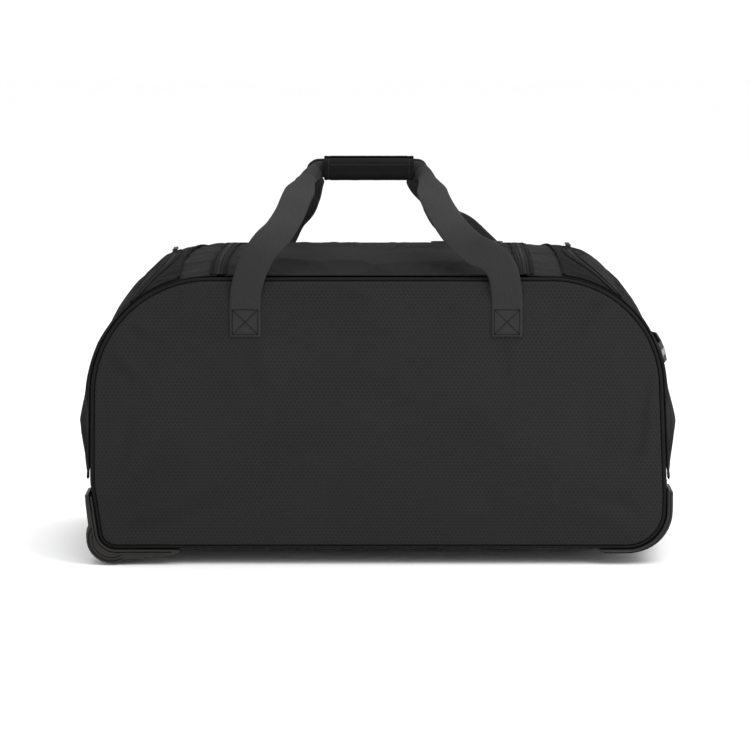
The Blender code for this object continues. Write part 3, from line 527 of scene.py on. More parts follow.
# ---------------------------------------------------------------- materials
class Look:
    """A node material built step by step around one Principled shader."""

    def __init__(self, name, roughness=0.8, metallic=0.0, sheen=0.0, specular=0.5):
        self.material = bpy.data.materials.new(name)
        self.material.use_nodes = True
        self.tree = self.material.node_tree
        self.shader = self.tree.nodes["Principled BSDF"]
        self.shader.inputs["Roughness"].default_value = roughness
        self.shader.inputs["Metallic"].default_value = metallic
        self.shader.inputs["Specular IOR Level"].default_value = specular
        self.shader.inputs["Sheen Weight"].default_value = sheen
        self.shader.inputs["Sheen Roughness"].default_value = 0.45

    def put(self, socket, value):
        if isinstance(value, bpy.types.NodeSocket):
            self.tree.links.new(value, socket)
        else:
            socket.default_value = value

    def node(self, kind, *inputs, out=0, **settings):
        made = self.tree.nodes.new(kind)
        for key, value in settings.items():
            setattr(made, key, value)
        for socket, value in zip(made.inputs, inputs):
            if value is not None:
                self.put(socket, value)
        return made.outputs[out]

    def maths(self, operation, *inputs):
        return self.node("ShaderNodeMath", *inputs, operation=operation)

    def vector(self, operation, *inputs, out=0):
        return self.node("ShaderNodeVectorMath", *inputs, operation=operation, out=out)

    def noise(self, where, scale, detail=3.0, roughness=0.55):
        made = self.tree.nodes.new("ShaderNodeTexNoise")
        self.put(made.inputs["Vector"], where)
        made.inputs["Scale"].default_value = scale
        made.inputs["Detail"].default_value = detail
        made.inputs["Roughness"].default_value = roughness
        return made.outputs["Fac"]

    def spread(self, value, low, high, new_low, new_high):
        made = self.tree.nodes.new("ShaderNodeMapRange")
        made.clamp = True
        for name, number in (("Value", value), ("From Min", low), ("From Max", high),
                             ("To Min", new_low), ("To Max", new_high)):
            self.put(made.inputs[name], number)
        return made.outputs["Result"]

    def parts(self, vector):
        """The x, y and z of a vector."""
        made = self.tree.nodes.new("ShaderNodeSeparateXYZ")
        self.put(made.inputs[0], vector)
        return made.outputs

    def blend(self, factor, first, second):
        made = self.tree.nodes.new("ShaderNodeMix")
        made.data_type = "RGBA"
        for index, value in ((0, factor), (6, first), (7, second)):
            self.put(made.inputs[index], value)
        return made.outputs[2]

    def finish(self, colour, roughness, *bumps):
        """Link colour and roughness, and stack (height, distance) bumps."""
        self.put(self.shader.inputs["Base Color"], colour)
        self.put(self.shader.inputs["Roughness"], roughness)
        normal = None
        for height, distance in bumps:
            bump = self.tree.nodes.new("ShaderNodeBump")
            bump.inputs["Distance"].default_value = distance
            self.put(bump.inputs["Height"], height)
            if normal is not None:
                self.put(bump.inputs["Normal"], normal)
            normal = bump.outputs["Normal"]
        if normal is not None:
            self.put(self.shader.inputs["Normal"], normal)
        return self.material


def grey(level, warm=0.0):
    return (level * (1 + warm), level, level * (1 - warm), 1.0)


def cloth_places(look):
    return look.node("ShaderNodeAttribute", attribute_name="cloth", out=1)


def plain_weave(look, where, pitch):
    """Height of a plain weave of that thread pitch."""
    turned = look.vector("SCALE", where)
    turned.node.inputs["Scale"].default_value = 2 * math.pi / pitch
    across, along, _rise = look.parts(turned)
    return look.maths("MULTIPLY", look.maths("SINE", across), look.maths("SINE", along))


def honeycomb_fabric():
    """Dark ripstop with a raised net of hexagons around small sunk dots."""
    look = Look("honeycomb_fabric", sheen=0.02, specular=0.10)
    where = cloth_places(look)
    cell = (0.0053, 0.0088, 1.0)
    distances = []
    for shift in (0.0, 0.5):
        lattice = look.vector("DIVIDE", where, cell)
        moved = look.vector("ADD", lattice, (shift, shift, 0.0))
        inside = look.vector("SUBTRACT", look.vector("FRACTION", moved), (0.5, 0.5, 0.0))
        scaled = look.vector("MULTIPLY", inside, (cell[0], cell[1], 0.0))
        distances.append(look.vector("LENGTH", scaled, out=1))
    nearest = look.maths("MINIMUM", *distances)
    net = look.spread(nearest, 0.0019, 0.0026, 0.0, 1.0)
    dot = look.spread(nearest, 0.0006, 0.0014, 1.0, 0.0)
    weave = plain_weave(look, where, 0.0009)
    cloud = look.noise(where, 9.0)
    fine = look.noise(where, 900.0, 2.0)
    base = look.blend(look.spread(cloud, 0.3, 0.7, 0.0, 1.0), grey(0.0104), grey(0.0134))
    patchy = look.spread(look.noise(where, 16.0, 4.0), 0.38, 0.62, 0.25, 1.0)
    netted = look.blend(look.maths("MULTIPLY", net, 0.40), base, grey(0.024))
    dotted = look.blend(look.maths("MULTIPLY", dot, look.maths("MULTIPLY", patchy, 0.62)), netted,
                        grey(0.006))
    worn = look.blend(look.spread(fine, 0.35, 0.75, 0.0, 0.35), dotted, grey(0.024))
    rough = look.spread(fine, 0.3, 0.7, 0.66, 0.84)
    height = look.maths("SUBTRACT", net, dot)
    return look.finish(worn, rough, (height, 0.00022), (weave, 0.00006))


def woven(name, level, pitch=0.0008, depth=0.00009, contrast=0.25):
    """Plain woven polyester."""
    look = Look(name, sheen=0.01, specular=0.05)
    where = cloth_places(look)
    weave = plain_weave(look, where, pitch)
    cloud = look.noise(where, 14.0)
    fine = look.noise(where, 1100.0, 2.0)
    base = look.blend(cloud, grey(level * (1 - contrast)), grey(level * (1 + contrast)))
    threads = look.blend(look.spread(weave, -1.0, 1.0, 0.0, 0.35), base, grey(level * 1.7))
    worn = look.blend(look.spread(fine, 0.35, 0.75, 0.0, 0.30), threads, grey(level * 1.5))
    rough = look.spread(fine, 0.3, 0.7, 0.72, 0.92)
    return look.finish(worn, rough, (weave, depth), (cloud, 0.0006))


def ribbed_webbing():
    """Webbing with lengthwise ribs and the slant of its weave; cloth x runs along it."""
    look = Look("ribbed_webbing", sheen=0.03, specular=0.12)
    where = cloth_places(look)
    along, across, _rise = look.parts(where)
    rib = look.maths("SINE", look.maths("MULTIPLY", across, 2 * math.pi / 0.0027))
    slant = look.maths("ADD", look.maths("MULTIPLY", along, 2 * math.pi / 0.0016),
                       look.maths("MULTIPLY", look.maths("ABSOLUTE", rib), 2.2))
    pick = look.maths("SINE", slant)
    cloud = look.noise(where, 30.0)
    fine = look.noise(where, 1200.0, 2.0)
    base = look.blend(cloud, grey(0.0160), grey(0.0215))
    ribs = look.blend(look.spread(rib, -1.0, 0.2, 0.55, 0.0), base, grey(0.012))
    picks = look.blend(look.spread(pick, -0.4, 1.0, 0.0, 0.35), ribs, grey(0.043))
    worn = look.blend(look.spread(fine, 0.4, 0.75, 0.0, 0.3), picks, grey(0.048))
    return look.finish(worn, look.spread(fine, 0.3, 0.7, 0.66, 0.86), (rib, 0.00020), (pick, 0.00010))


def moulded(name, level, warm, roughness, grain=900.0, depth=0.00012):
    """Moulded plastic or rubber with a fine spark-eroded grain, a little paler where it is rubbed."""
    look = Look(name, specular=0.25)
    where = look.node("ShaderNodeTexCoord", out=3)
    spark = look.noise(where, grain, 2.0, 0.7)
    cloud = look.noise(where, 28.0, 4.0)
    base = look.blend(cloud, grey(level * 0.82, warm), grey(level * 1.18, warm))
    rubbed = look.blend(look.spread(spark, 0.55, 0.8, 0.0, 0.4), base, grey(level * 1.9, warm))
    rough = look.spread(cloud, 0.35, 0.65, roughness - 0.08, roughness + 0.08)
    return look.finish(rubbed, rough, (spark, depth), (cloud, 0.0003))


def metal(name, colour, roughness):
    """Drawn metal with fine lines along X."""
    look = Look(name, metallic=1.0)
    where = look.node("ShaderNodeTexCoord", out=3)
    lines = look.noise(look.vector("MULTIPLY", where, (4.0, 220.0, 220.0)), 12.0, 4.0)
    cloud = look.noise(where, 60.0)
    dark = tuple(c * 0.82 for c in colour) + (1.0,)
    shade = look.blend(lines, dark, (*colour, 1.0))
    aged = look.blend(look.spread(cloud, 0.5, 0.8, 0.0, 0.3), shade, dark)
    return look.finish(aged, look.spread(lines, 0.3, 0.7, roughness - 0.06, roughness + 0.10),
                       (lines, 0.00003))


def lacquered():
    """Dark lacquered die-cast zip parts, paler along worn edges."""
    look = Look("lacquered_metal", specular=0.12)
    where = look.node("ShaderNodeTexCoord", out=3)
    edge = look.node("ShaderNodeNewGeometry", out=7)
    wear = look.spread(edge, 0.52, 0.60, 0.0, 1.0)
    grain = look.noise(where, 1500.0, 3.0)
    base = look.blend(grain, grey(0.008), grey(0.018))
    worn = look.blend(look.maths("MULTIPLY", wear, grain), base, grey(0.12))
    return look.finish(worn, look.spread(grain, 0.3, 0.7, 0.42, 0.6), (grain, 0.00004))


def fibre_board():
    """Pressed board under a thin lining."""
    look = Look("fibre_board", specular=0.3)
    where = look.node("ShaderNodeTexCoord", out=3)
    fibre = look.noise(look.vector("MULTIPLY", where, (1.0, 5.0, 5.0)), 120.0, 5.0)
    speck = look.noise(where, 700.0, 2.0)
    base = look.blend(fibre, grey(0.030), grey(0.060))
    return look.finish(base, look.spread(speck, 0.3, 0.7, 0.75, 0.95), (fibre, 0.0004), (speck, 0.0001))


LOOKS = {
    "panel": honeycomb_fabric(),
    "gusset": woven("gusset_weave", 0.0110),
    "pocket": woven("pocket_weave", 0.0044),
    "lid": woven("lid_weave", 0.0098, contrast=0.18),
    "base": woven("base_weave", 0.0110, pitch=0.0012, depth=0.00016),
    "grip": woven("grip_weave", 0.0070, pitch=0.0010, depth=0.00014),
    "piping": woven("piping_weave", 0.0090, pitch=0.0006),
    "binding": woven("binding_weave", 0.0030, pitch=0.0007),
    "webbing": ribbed_webbing(),
    "tape": woven("zip_tape_weave", 0.0060, pitch=0.0009),
    "light_tape": woven("light_tape_weave", 0.22, pitch=0.0009),
    "thread": woven("thread", 0.030, pitch=0.0004, depth=0.00004),
    "black_thread": woven("black_thread", 0.004, pitch=0.0004, depth=0.00004),
    "teeth": moulded("coil_teeth", 0.004, 0.0, 0.62, 1500.0, 0.00004),
    "moulding": moulded("warm_grey_moulding", 0.0135, 0.09, 0.50),
    "dark_moulding": moulded("dark_moulding", 0.0080, 0.0, 0.45),
    "tyre": moulded("wheel_tyre_rubber", 0.0100, 0.02, 0.70, 1300.0, 0.0002),
    "lacquer": lacquered(),
    "steel": metal("drawn_steel", (0.56, 0.57, 0.58), 0.26),
    "aluminium": metal("anodised_aluminium", (0.60, 0.61, 0.62), 0.36),
    "board": fibre_board(),
}


def place_piece(obj, look, body, slot, *stands_for):
    """Give a finished piece its material, hide what it stands for, and attach it to its body when that is a
    name, or else bake its place into its mesh. The slot is not used.
    """
    obj.data.materials.clear()
    obj.data.materials.append(LOOKS[look])
    if stands_for:
        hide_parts(*stands_for)
    if isinstance(body, str):
        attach(obj, body)
    else:
        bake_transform(obj)
    return obj


# ---------------------------------------------------------------- long panels and piping
def rim_inset(distances, inset):
    x, z, out_x, out_z = on_rim(distances)
    return x - out_x * inset, z - out_z * inset


def near_patch(x, z):
    """1 under a handle's stitching, falling to 0 around it."""
    found = 0 * x
    for low, high in ((ANCHOR_LOW, ANCHOR_HIGH), (ANCHOR2_LOW, ANCHOR2_HIGH)):
        beyond = np.maximum.reduce([low.x - x, x - high.x, low.z - z, 0 * x])
        found = np.maximum(found, 1 - smooth_step(beyond, 0.003, 0.020))
    return found


def crease_depth(x, z, creases, mirror=1):
    """How far soft creases sink a long panel."""
    depth = 0 * x
    for x0, z0, x1, z1, width, full in creases:
        run = np.array([x1 - x0, z1 - z0]) * (mirror, 1)
        length = np.hypot(*run)
        run /= length
        along = (x - x0 * mirror) * run[0] + (z - z0) * run[1]
        across = (x - x0 * mirror) * -run[1] + (z - z0) * run[0]
        across = across + 0.006 * np.sin(along / length * 5.0)
        taper = smooth_step(along, -0.02, 0.03) * (1 - smooth_step(along, length - 0.04, length + 0.02))
        valley = np.exp(-(across / width) ** 2) - 0.6 * np.exp(-((across - 1.9 * width) / width) ** 2)
        depth += full * taper * valley
    return depth


def long_panel(side, name):
    """One long side: a filled honeycomb panel whose edge rolls into the piping seam."""
    count = 720
    distances = np.linspace(0, RIM_LENGTH, count, endpoint=False)
    rim_x, rim_z = rim_inset(distances, PANEL_INSET)
    core_x = np.round(np.clip(rim_x, -CORE_HALF_LENGTH, CORE_HALF_LENGTH) / CORE_STEP) * CORE_STEP
    core_z = np.full(count, (TOP + BASE) / 2 + 0.004)
    reach = np.hypot(core_x - rim_x, core_z - rim_z)
    insets = np.concatenate([[0.0, 0.0003, 0.0008, 0.0014, 0.0021, 0.0030, 0.0042, 0.0060, 0.0085],
                             np.geomspace(0.0120, 0.150, 30)])
    share = np.minimum(insets[:, None] / reach[None, :], 0.97)
    share = np.vstack([share, np.linspace(0.86, 1.0, 4)[:, None] * np.ones(count)])
    share = np.maximum.accumulate(share, axis=0)
    x = rim_x + (core_x - rim_x) * share
    z = rim_z + (core_z - rim_z) * share
    inset = reach * share
    roll = SEAM_ROLL - np.sqrt(SEAM_ROLL ** 2 - (SEAM_ROLL - np.minimum(inset, SEAM_ROLL)) ** 2)
    flat = np.stack([x, 0 * x + side, z], axis=-1)
    around = np.broadcast_to(distances[None, :], x.shape)
    along_seam = np.stack([around, inset * 0.3, 0 * x + side], axis=-1)
    pucker = cloth_noise(along_seam, 85.0) * np.exp(-inset / 0.011)
    bulge = 0.0016 * smooth_step(inset, 0.01, 0.13) * (1 - smooth_step(z, 0.19, 0.31))
    slack = 0.0011 * cloth_noise(flat, 8.0, 3.0) + 0.00045 * cloth_noise(flat, 24.0, 7.0)
    soft = smooth_step(inset, 0.004, 0.05)
    stand = bulge + slack * soft - crease_depth(x, z, PANEL_CREASES, -side) * smooth_step(inset, 0.002, 0.02)
    stand = stand * (1 - near_patch(x if side < 0 else x - REAR_SHIFT, z)) + 0.00035 * pucker - roll
    points = np.stack([x, side * (FACE + stand), z], axis=-1)
    obj = sheet(name + "_panel_fabric", points, cloth_of(x, z), (0.0, side, 0.0), closed=True)
    with edited(obj.data) as shape:       # the last ring is a line, where its points lie together
        bmesh.ops.remove_doubles(shape, verts=shape.verts, dist=0.00002)
    thicken(obj, 0.0022)
    place_piece(obj, "panel", "bag", "panel_fabric", name + "_panel")


def piping(side, name):
    """The cord around a long panel, and the bound seam behind it."""
    distances = np.linspace(0, RIM_LENGTH, 1100, endpoint=False)
    x, z = rim_inset(distances, PIPING_INSET)
    path = np.stack([x, 0 * x + side * PIPING_Y, z], axis=-1)
    radius = CORD_SHARE * PIPING_RADIUS * (1 + 0.05 * cloth_noise(path, 160.0))
    cord = tube(name + "_piping_cord", path, radius, 12, closed=True)
    place_piece(cord, "piping", "bag", "piping_cord", name + "_piping")

    rows = [(0.0030, 0.1650), (0.0042, 0.1702), (0.0056, 0.1713), (0.0110, FACE - 0.0036)]   # inset, y
    points = []
    for inset, y in rows:
        x, z = rim_inset(distances, inset)
        points.append(np.stack([x, 0 * x + side * y, z], axis=-1))
    points = np.array(points)
    cloth = cloth_of(np.broadcast_to(distances, points.shape[:2]), points[..., 2])
    tape = sheet(name + "_seam_tape", points, cloth, (0.0, side, 0.0), closed=True)
    thicken(tape, 0.0006)
    place_piece(tape, "binding", "bag", "piping_cord")


# ---------------------------------------------------------------- gusset, lid and base
def trim(obj, unwanted):
    """Delete the faces whose middle the test picks."""
    with edited(obj.data) as shape:
        gone = [face for face in shape.faces if unwanted(face.calc_center_median())]
        bmesh.ops.delete(shape, geom=gone, context="FACES")


def wrinkled(points, outward, height, scale, seed, edge):
    """Move a grid of points along its normals by soft folds that die out at its edges."""
    ups = outward_normals(points, outward)
    stretched = points * np.array(scale)
    folds = cloth_noise(stretched, 1.0, seed)
    ridges = 1.0 - 2.2 * np.abs(cloth_noise(stretched, 0.6, seed + 9.0))
    move = height * (0.6 * folds + 0.5 * ridges) * edge
    return points + ups * move[..., None]


def edge_fade(rows, columns, row_share, column_share):
    """0 at the grid's edges and 1 inside."""
    u = np.linspace(0, 1, rows)[:, None]
    v = np.linspace(0, 1, columns)[None, :]
    return (smooth_step(np.minimum(u, 1 - u), 0.0, row_share)
            * smooth_step(np.minimum(v, 1 - v), 0.0, column_share))


def border(rows, columns):
    """Indices of the two outermost rows and columns of a grid's points."""
    index = np.arange(rows * columns).reshape(rows, columns)
    return np.setdiff1d(index.ravel(), index[2:-2, 2:-2].ravel())


def gussets():
    """The two end panels, the base and the strip behind the lid, with the mouldings' openings."""
    well_radius, well_sides, rim = 0.0400, (0.130, 0.168), 0.004

    def in_wheel_well(point):
        return (math.hypot(point.x - WHEEL.x, point.z - WHEEL.z) < well_radius
                and well_sides[0] < abs(point.y) < well_sides[1])

    def in_bezel(point):
        return (point.x > 0.3 and abs(point.y) < BEZEL_HIGH.y - rim
                and BEZEL_LOW.z + rim < point.z < BEZEL_HIGH.z - rim)

    wheel_foot = along_rim(BASE_LOW.x, BASE)
    handle_foot = along_rim(BASE_HIGH.x, BASE)
    spans = (
        ("wheel_end_gusset", wheel_foot, along_rim(BODY_TAPE_LOW.x + 0.002, TOP), -0.05, in_wheel_well),
        ("handle_end_gusset", along_rim(BODY_TAPE_HIGH.x - 0.002, TOP), handle_foot, 0.05, in_bezel),
    )
    for name, start, end, seed, hole in spans:
        rows, columns = 240, 120
        distance, y, points = skin_grid(start, end, -GUSSET_HALF, GUSSET_HALF, rows, columns)
        out = np.array([math.copysign(1.0, seed), 0.0, 0.3])
        on_top = smooth_step(points[..., 2], TOP - 0.06, TOP)
        fade = edge_fade(rows, columns, 0.03, 0.05)
        points = wrinkled(points, out, 0.0030 * on_top + 0.0003, (14.0, 48.0, 14.0), seed * 100, fade)
        obj = fabric_sheet(name + "_fabric", points, cloth_of(distance, y), out)
        trim(obj, hole)
        place_piece(obj, "gusset", "bag", "plain_fabric", name)

    rows, columns = 120, 80
    distance, y, points = skin_grid(handle_foot - RIM_LENGTH, wheel_foot, -GUSSET_HALF, GUSSET_HALF,
                                    rows, columns)
    points = wrinkled(points, DOWN, 0.0005, (14.0, 18.0, 10.0), 31.0, edge_fade(rows, columns, 0.08, 0.08))
    base = fabric_sheet("base_fabric", points, cloth_of(distance, y), DOWN)
    trim(base, in_wheel_well)
    place_piece(base, "base", "bag", "plain_fabric", "base_panel")

    rows, columns = 160, 22
    distance, y, points = skin_grid(along_rim(BODY_TAPE_LOW.x + 0.0005, TOP),
                                    along_rim(BODY_TAPE_HIGH.x - 0.0005, TOP),
                                    STRIP_LOW.y, GUSSET_HALF, rows, columns)
    points = wrinkled(points, UP, 0.0009, (30.0, 26.0, 10.0), 5.0, edge_fade(rows, columns, 0.04, 0.2))
    strip = fabric_sheet("rear_top_strip_fabric", points, cloth_of(distance, y), UP)
    place_piece(strip, "gusset", "bag", "plain_fabric", "rear_top_strip")


HINGE_Y = -GUSSET_HALF
LID_BEND = ("bag", "lid", (0.0, HINGE_Y + 0.0005, TOP), (0.0, HINGE_Y + 0.0120, TOP))


def lid():
    """The lid's fabric over the top, settled as cloth."""
    rows, columns = 170, 130
    distance, y, points = skin_grid(along_rim(LID_LOW.x - LID_TUCK, TOP),
                                    along_rim(LID_HIGH.x + LID_TUCK, TOP),
                                    LID_LOW.y, LID_HIGH.y + LID_TUCK, rows, columns)
    points = wrinkled(points, UP, 0.0008, (12.0, 20.0, 8.0), 17.0, edge_fade(rows, columns, 0.06, 0.06))
    obj = sheet("lid_fabric", points, cloth_of(distance, y), UP)
    settle(obj, border(rows, columns), 0.6, 0.012, 0.004)
    thicken(obj, FABRIC)
    place_piece(obj, "lid", LID_BEND, "plain_fabric", "lid_panel")


# ---------------------------------------------------------------- zips
def chain_route(reach):
    """The main zip's route on the skin, moved outwards by reach, as points and outward normals."""
    step = 0.0015
    start_y = HINGE_Y + 0.0008
    line = rounded_path((
        (CHAIN_X[0] - reach, start_y, 0.0),
        (CHAIN_X[0] - reach, CHAIN_Y + reach, max(CHAIN_CORNER + reach, 0.001)),
        (CHAIN_X[1] + reach, CHAIN_Y + reach, max(CHAIN_CORNER + reach, 0.001)),
        (CHAIN_X[1] + reach, start_y, 0.0),
    ), math.radians(6), closed=False)
    length = resample(line, 10)[1]
    flat = resample(line, max(20, int(length / step)))[0]
    return on_top(flat[:, 0], flat[:, 1])


def on_top(x, y):
    """Points on the flat of the top and their outward normals."""
    across = np.abs(y) / FACE
    slope = -TOP_CROWN * 4 * across ** 3 / FACE * np.sign(y)
    points = np.stack([x + lean_in(x, y), y, TOP + TOP_CROWN * (1 - across ** 4)], axis=-1)
    return points, unit(np.stack([0 * x, -slope, 0 * x + 1.0], axis=-1))


def ribbon(name, left, right, ups):
    """A zip's tape between two lines of points, slightly domed."""
    lift = ZIP_TAPE_LIFT
    middle = (left + right) / 2 + ups * lift * 1.25
    rows = np.array([left + ups * lift * 0.4, left * 0.75 + right * 0.25 + ups * lift, middle,
                     left * 0.25 + right * 0.75 + ups * lift, right + ups * lift * 0.4])
    width = np.linspace(0, np.linalg.norm(right[0] - left[0]), 5)
    cloth = cloth_of(np.broadcast_to(run_along(middle), rows.shape[:2]),
                     np.broadcast_to(width[:, None], rows.shape[:2]))
    return fabric_sheet(name, rows, cloth, ups[len(ups) // 2], ZIP_TAPE_THICK)


def teeth(name, path, ups):
    """Coil teeth along one edge of a zip's chain."""
    run = run_along(path)
    along = np.gradient(path, axis=0)
    places = []
    for k in range(int(run[-1] / TOOTH_PITCH)):
        at = (k + 0.5) * TOOTH_PITCH
        up = between(at, run, ups)
        places.append(place_of(between(at, run, path), np.cross(between(at, run, along), up), up))
    return copies(name, bead(TOOTH_LENGTH, TOOTH_RADIUS, 8), places)


def zip_edge(name, route, sign, body, places, hem_up):
    """Coil, hem and stitching along one side of a zip, each at its reach from the zip's middle line."""
    (coil_reach, coil_lift), (hem_reach, hem_lift), (seam_reach, seam_lift) = places
    line, ups = route(sign * coil_reach)
    place_piece(teeth(name % "coil", line + ups * coil_lift, ups), "teeth", body, "zip_tape")
    line, ups = route(sign * hem_reach)
    hem = tube(name % "hem", line + ups * hem_lift, BINDING_RADIUS, 10, flat=0.8, up=hem_up)
    place_piece(hem, "binding", body, "plain_fabric")
    line, ups = route(sign * seam_reach)
    thread = stitches(name % "stitching", [(line + ups * seam_lift, ups)])
    place_piece(thread, "black_thread", body, "plain_fabric")


def main_zip():
    """The body's and the lid's tapes, with their coils, hems and stitching."""
    for name, sign, body in (("body", 1, "bag"), ("lid", -1, LID_BEND)):
        inner, _ups = chain_route(sign * 0.0012)
        count = len(inner)
        outer, ups = chain_route(sign * 0.0072)
        outer = resample(outer, count)[0]
        ups = np.stack([np.interp(np.linspace(0, 1, count), np.linspace(0, 1, len(ups)), ups[:, k])
                        for k in range(3)], axis=1)
        tape = ribbon(name + "_zip_tape_weave", inner, outer, ups)
        place_piece(tape, "tape", body, "zip_tape", name + "_zip_tape")
        zip_edge(name + "_zip_%s", chain_route, sign, body, MAIN_ZIP_EDGE, (0, 0, 1))


def arch_route(end, shift):
    """The arched zip's route over an end pocket, moved along the bag by shift."""
    apex = along_rim(ZIP_APEX_X[end], TOP)
    foot = along_rim(*ZIP_FOOT[end])
    toward = 1 if foot > apex else -1
    y = np.linspace(-GUSSET_HALF + 0.003, GUSSET_HALF - 0.003, 150)
    distance = apex + (foot - apex) * (np.abs(y) / GUSSET_HALF) ** ZIP_ARCH_POWER + toward * shift
    return pocket_point(end, distance, y)


def pocket_zip(end, name):
    """The two tapes of a pocket's arched zip, with their coils, hems and stitching."""
    for sign, side in ((-1, "upper"), (1, "lower")):
        near, near_ups = arch_route(end, sign * 0.0011)
        far, _ups = arch_route(end, sign * 0.0062)
        replaced = (name + "_pocket_zip",) if sign < 0 else ()
        tape = ribbon(name + "_pocket_tape_" + side, near + near_ups * 0.0004, far, near_ups)
        place_piece(tape, "tape", "bag", "zip_tape", *replaced)
        zip_edge(name + "_pocket_%s_" + side, functools.partial(arch_route, end), sign, "bag",
                 POCKET_ZIP_EDGE, (0, 1, 0))


def oval(half_length, half_width, taper=1.0):
    """A rounded outline, narrower towards +X by taper."""
    points = []
    count = 36
    for k in range(count):
        angle = 2 * math.pi * k / count
        c, s = math.cos(angle), math.sin(angle)
        x = half_length * math.copysign(abs(c) ** 0.6, c)
        width = half_width * (1 + (taper - 1) * (x / half_length + 1) / 2)
        points.append((x, width * math.copysign(abs(s) ** 0.6, s)))
    return points


def ring_outline(centre, radius):
    angles = [2 * math.pi * k / 20 for k in range(20)]
    return [(centre + radius * math.cos(angle), radius * math.sin(angle)) for angle in angles]


def zip_parts(node_slider, node_pull, slider_body, pull_body):
    """A slider with its bridge, and a pull with an eye and a ribbed grip, in the frame's places."""
    low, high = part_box(node_slider)
    seat = (low + high) / 2
    pull_low, pull_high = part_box(node_pull)
    pull_middle = (pull_low + pull_high) / 2
    along = Vector(((pull_middle - seat).x, (pull_middle - seat).y, 0.0)).normalized()
    along = Vector((round(along.x), round(along.y), 0.0))
    width = 0.008
    size = 0.013
    lower = bevelled_plate("lower", oval(size / 2, 0.0044, 0.72), 0.0014, 0.0004)
    lower.location.z = -0.0018
    upper = bevelled_plate("upper", oval(size / 2, 0.0042, 0.72), 0.0016, 0.0005)
    upper.location.z = 0.0006
    post = bevelled_plate("post", oval(0.0022, 0.0012), 0.0030, 0.0003)
    post.location = (-0.003, 0.0, -0.0006)
    arch_path = [(-0.0048, 0, 0.0010), (-0.0040, 0, 0.0024), (-0.0020, 0, 0.0028), (0.0010, 0, 0.0028),
                 (0.0030, 0, 0.0024), (0.0040, 0, 0.0010)]
    bridge = tube("bridge", resample(arch_path, 16)[0], 0.0011, 8)
    slider = joined(node_slider + "_cast", [lower, upper, post, bridge])
    slope = skin_slope(seat)
    slider.data.transform(Matrix.Translation(seat) @ slope @ turn_to(along))
    place_piece(slider, "lacquer", slider_body, "zip_metal", node_slider)

    half = 0.0137
    tab = bevelled_plate("tab", oval(half, width / 2 - 0.0002, 0.86), 0.0015, 0.0005,
                         holes=(ring_outline(-half + 0.0034, 0.0014)[::-1],))
    ribs = [tube("rib", [(x, -0.0026, 0.0007), (x, 0.0, 0.0009), (x, 0.0026, 0.0007)], 0.00045, 6, up=UP)
            for x in (0.001, 0.0032, 0.0054, 0.0076, 0.0098)]
    pull = joined(node_pull + "_cast", [tab, *ribs])
    pull.data.transform(Matrix.Translation(pull_middle - Vector((0, 0, 0.0008))) @ slope @ turn_to(along))
    place_piece(pull, "lacquer", pull_body, "zip_metal", node_pull)


def turn_to(along):
    return Matrix.Rotation(math.atan2(along.y, along.x), 4, "Z")


def skin_slope(point):
    """Tilt about Y that lays a part flat on the pocket under it."""
    if abs(point.x) < max(abs(x) for x in CHAIN_X) and point.y > 0.1:
        return Matrix.Identity(4)
    end = 1 if point.x > 0 else -1
    low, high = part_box(("handle" if end > 0 else "wheel") + "_pocket_pull")
    rise = (high.z - low.z - 0.0018) / 0.008
    return Matrix.Rotation(end * math.asin(min(max(rise, 0.0), 0.5)), 4, "Y")


# ---------------------------------------------------------------- end pockets
def pocket_top(end, y):
    """Distance of a pocket's slanting top seam."""
    front, rear = POCKET_TOP[end]
    share = (y + GUSSET_HALF) / (2 * GUSSET_HALF)
    first = along_rim(front, TOP)
    last = along_rim(rear, TOP)
    return first + (last - first) * share ** 1.4


def pocket_lift(end, distance, y):
    foot = along_rim(end * HALF_LENGTH, POCKET_FOOT_Z)
    top = pocket_top(end, y)
    share = np.clip((distance - top) / (foot - top), 0.0, 1.0)
    height = on_rim(distance)[1]
    swell = (1 - smooth_step(height, *POCKET_BELLY)) * (1 - share ** 14)
    across = 1 - np.abs(y / GUSSET_HALF) ** 2.4
    return POCKET_LIFT + POCKET_BULGE * swell * across


def pocket_point(end, distance, y):
    """Points on a pocket's outer face and their outward normals."""
    lift = pocket_lift(end, distance, y)
    points = skin(distance, y, lift)
    _x, _z, out_x, out_z = on_rim(distance)
    return points, unit(np.stack([out_x, 0.25 * y / GUSSET_HALF, out_z], axis=-1))


def end_pocket(end, name):
    """A pocket's face over a shoulder and end, bound and topstitched along both edges."""
    rows, columns = 150, 100
    foot = along_rim(end * HALF_LENGTH, POCKET_FOOT_Z)
    share, y = np.meshgrid(np.linspace(0, 1, rows), np.linspace(-GUSSET_HALF, GUSSET_HALF, columns),
                           indexing="ij")
    top = pocket_top(end, y)
    distance = top + (foot - top) * share
    points, _ups = pocket_point(end, distance, y)
    fade = edge_fade(rows, columns, 0.05, 0.06)
    out = np.array([float(end), 0.0, 0.4])
    points = wrinkled(points, out, 0.0022, (16.0, 9.0, 12.0), 40.0 + 7.0 * end, fade)
    obj = sheet(name + "_end_pocket_fabric", points, cloth_of(distance, y), out)
    settle(obj, pocket_pins(end, distance, y, rows, columns), 0.5, 0.012, 0.003)
    thicken(obj, FABRIC)
    place_piece(obj, "pocket", "bag", "plain_fabric", name + "_end_pocket")
    for where, route, up in (("top", points[0], (end * 0.3, 0.0, 1.0)),
                             ("foot", points[-1], (float(end), 0.0, 0.0))):
        line = resample(route, 140)[0]
        up = unit(np.array([up]))[0]
        bind = tube(name + "_pocket_binding_" + where, line + up * 0.0004, 0.0021, 10, flat=0.65, up=up)
        place_piece(bind, "binding", "bag", "plain_fabric")
        row = stitches(name + "_pocket_topstitch_" + where, [(line + up * 0.0018, up)], 0.0036, 0.0004)
        place_piece(row, "black_thread", "bag", "plain_fabric")


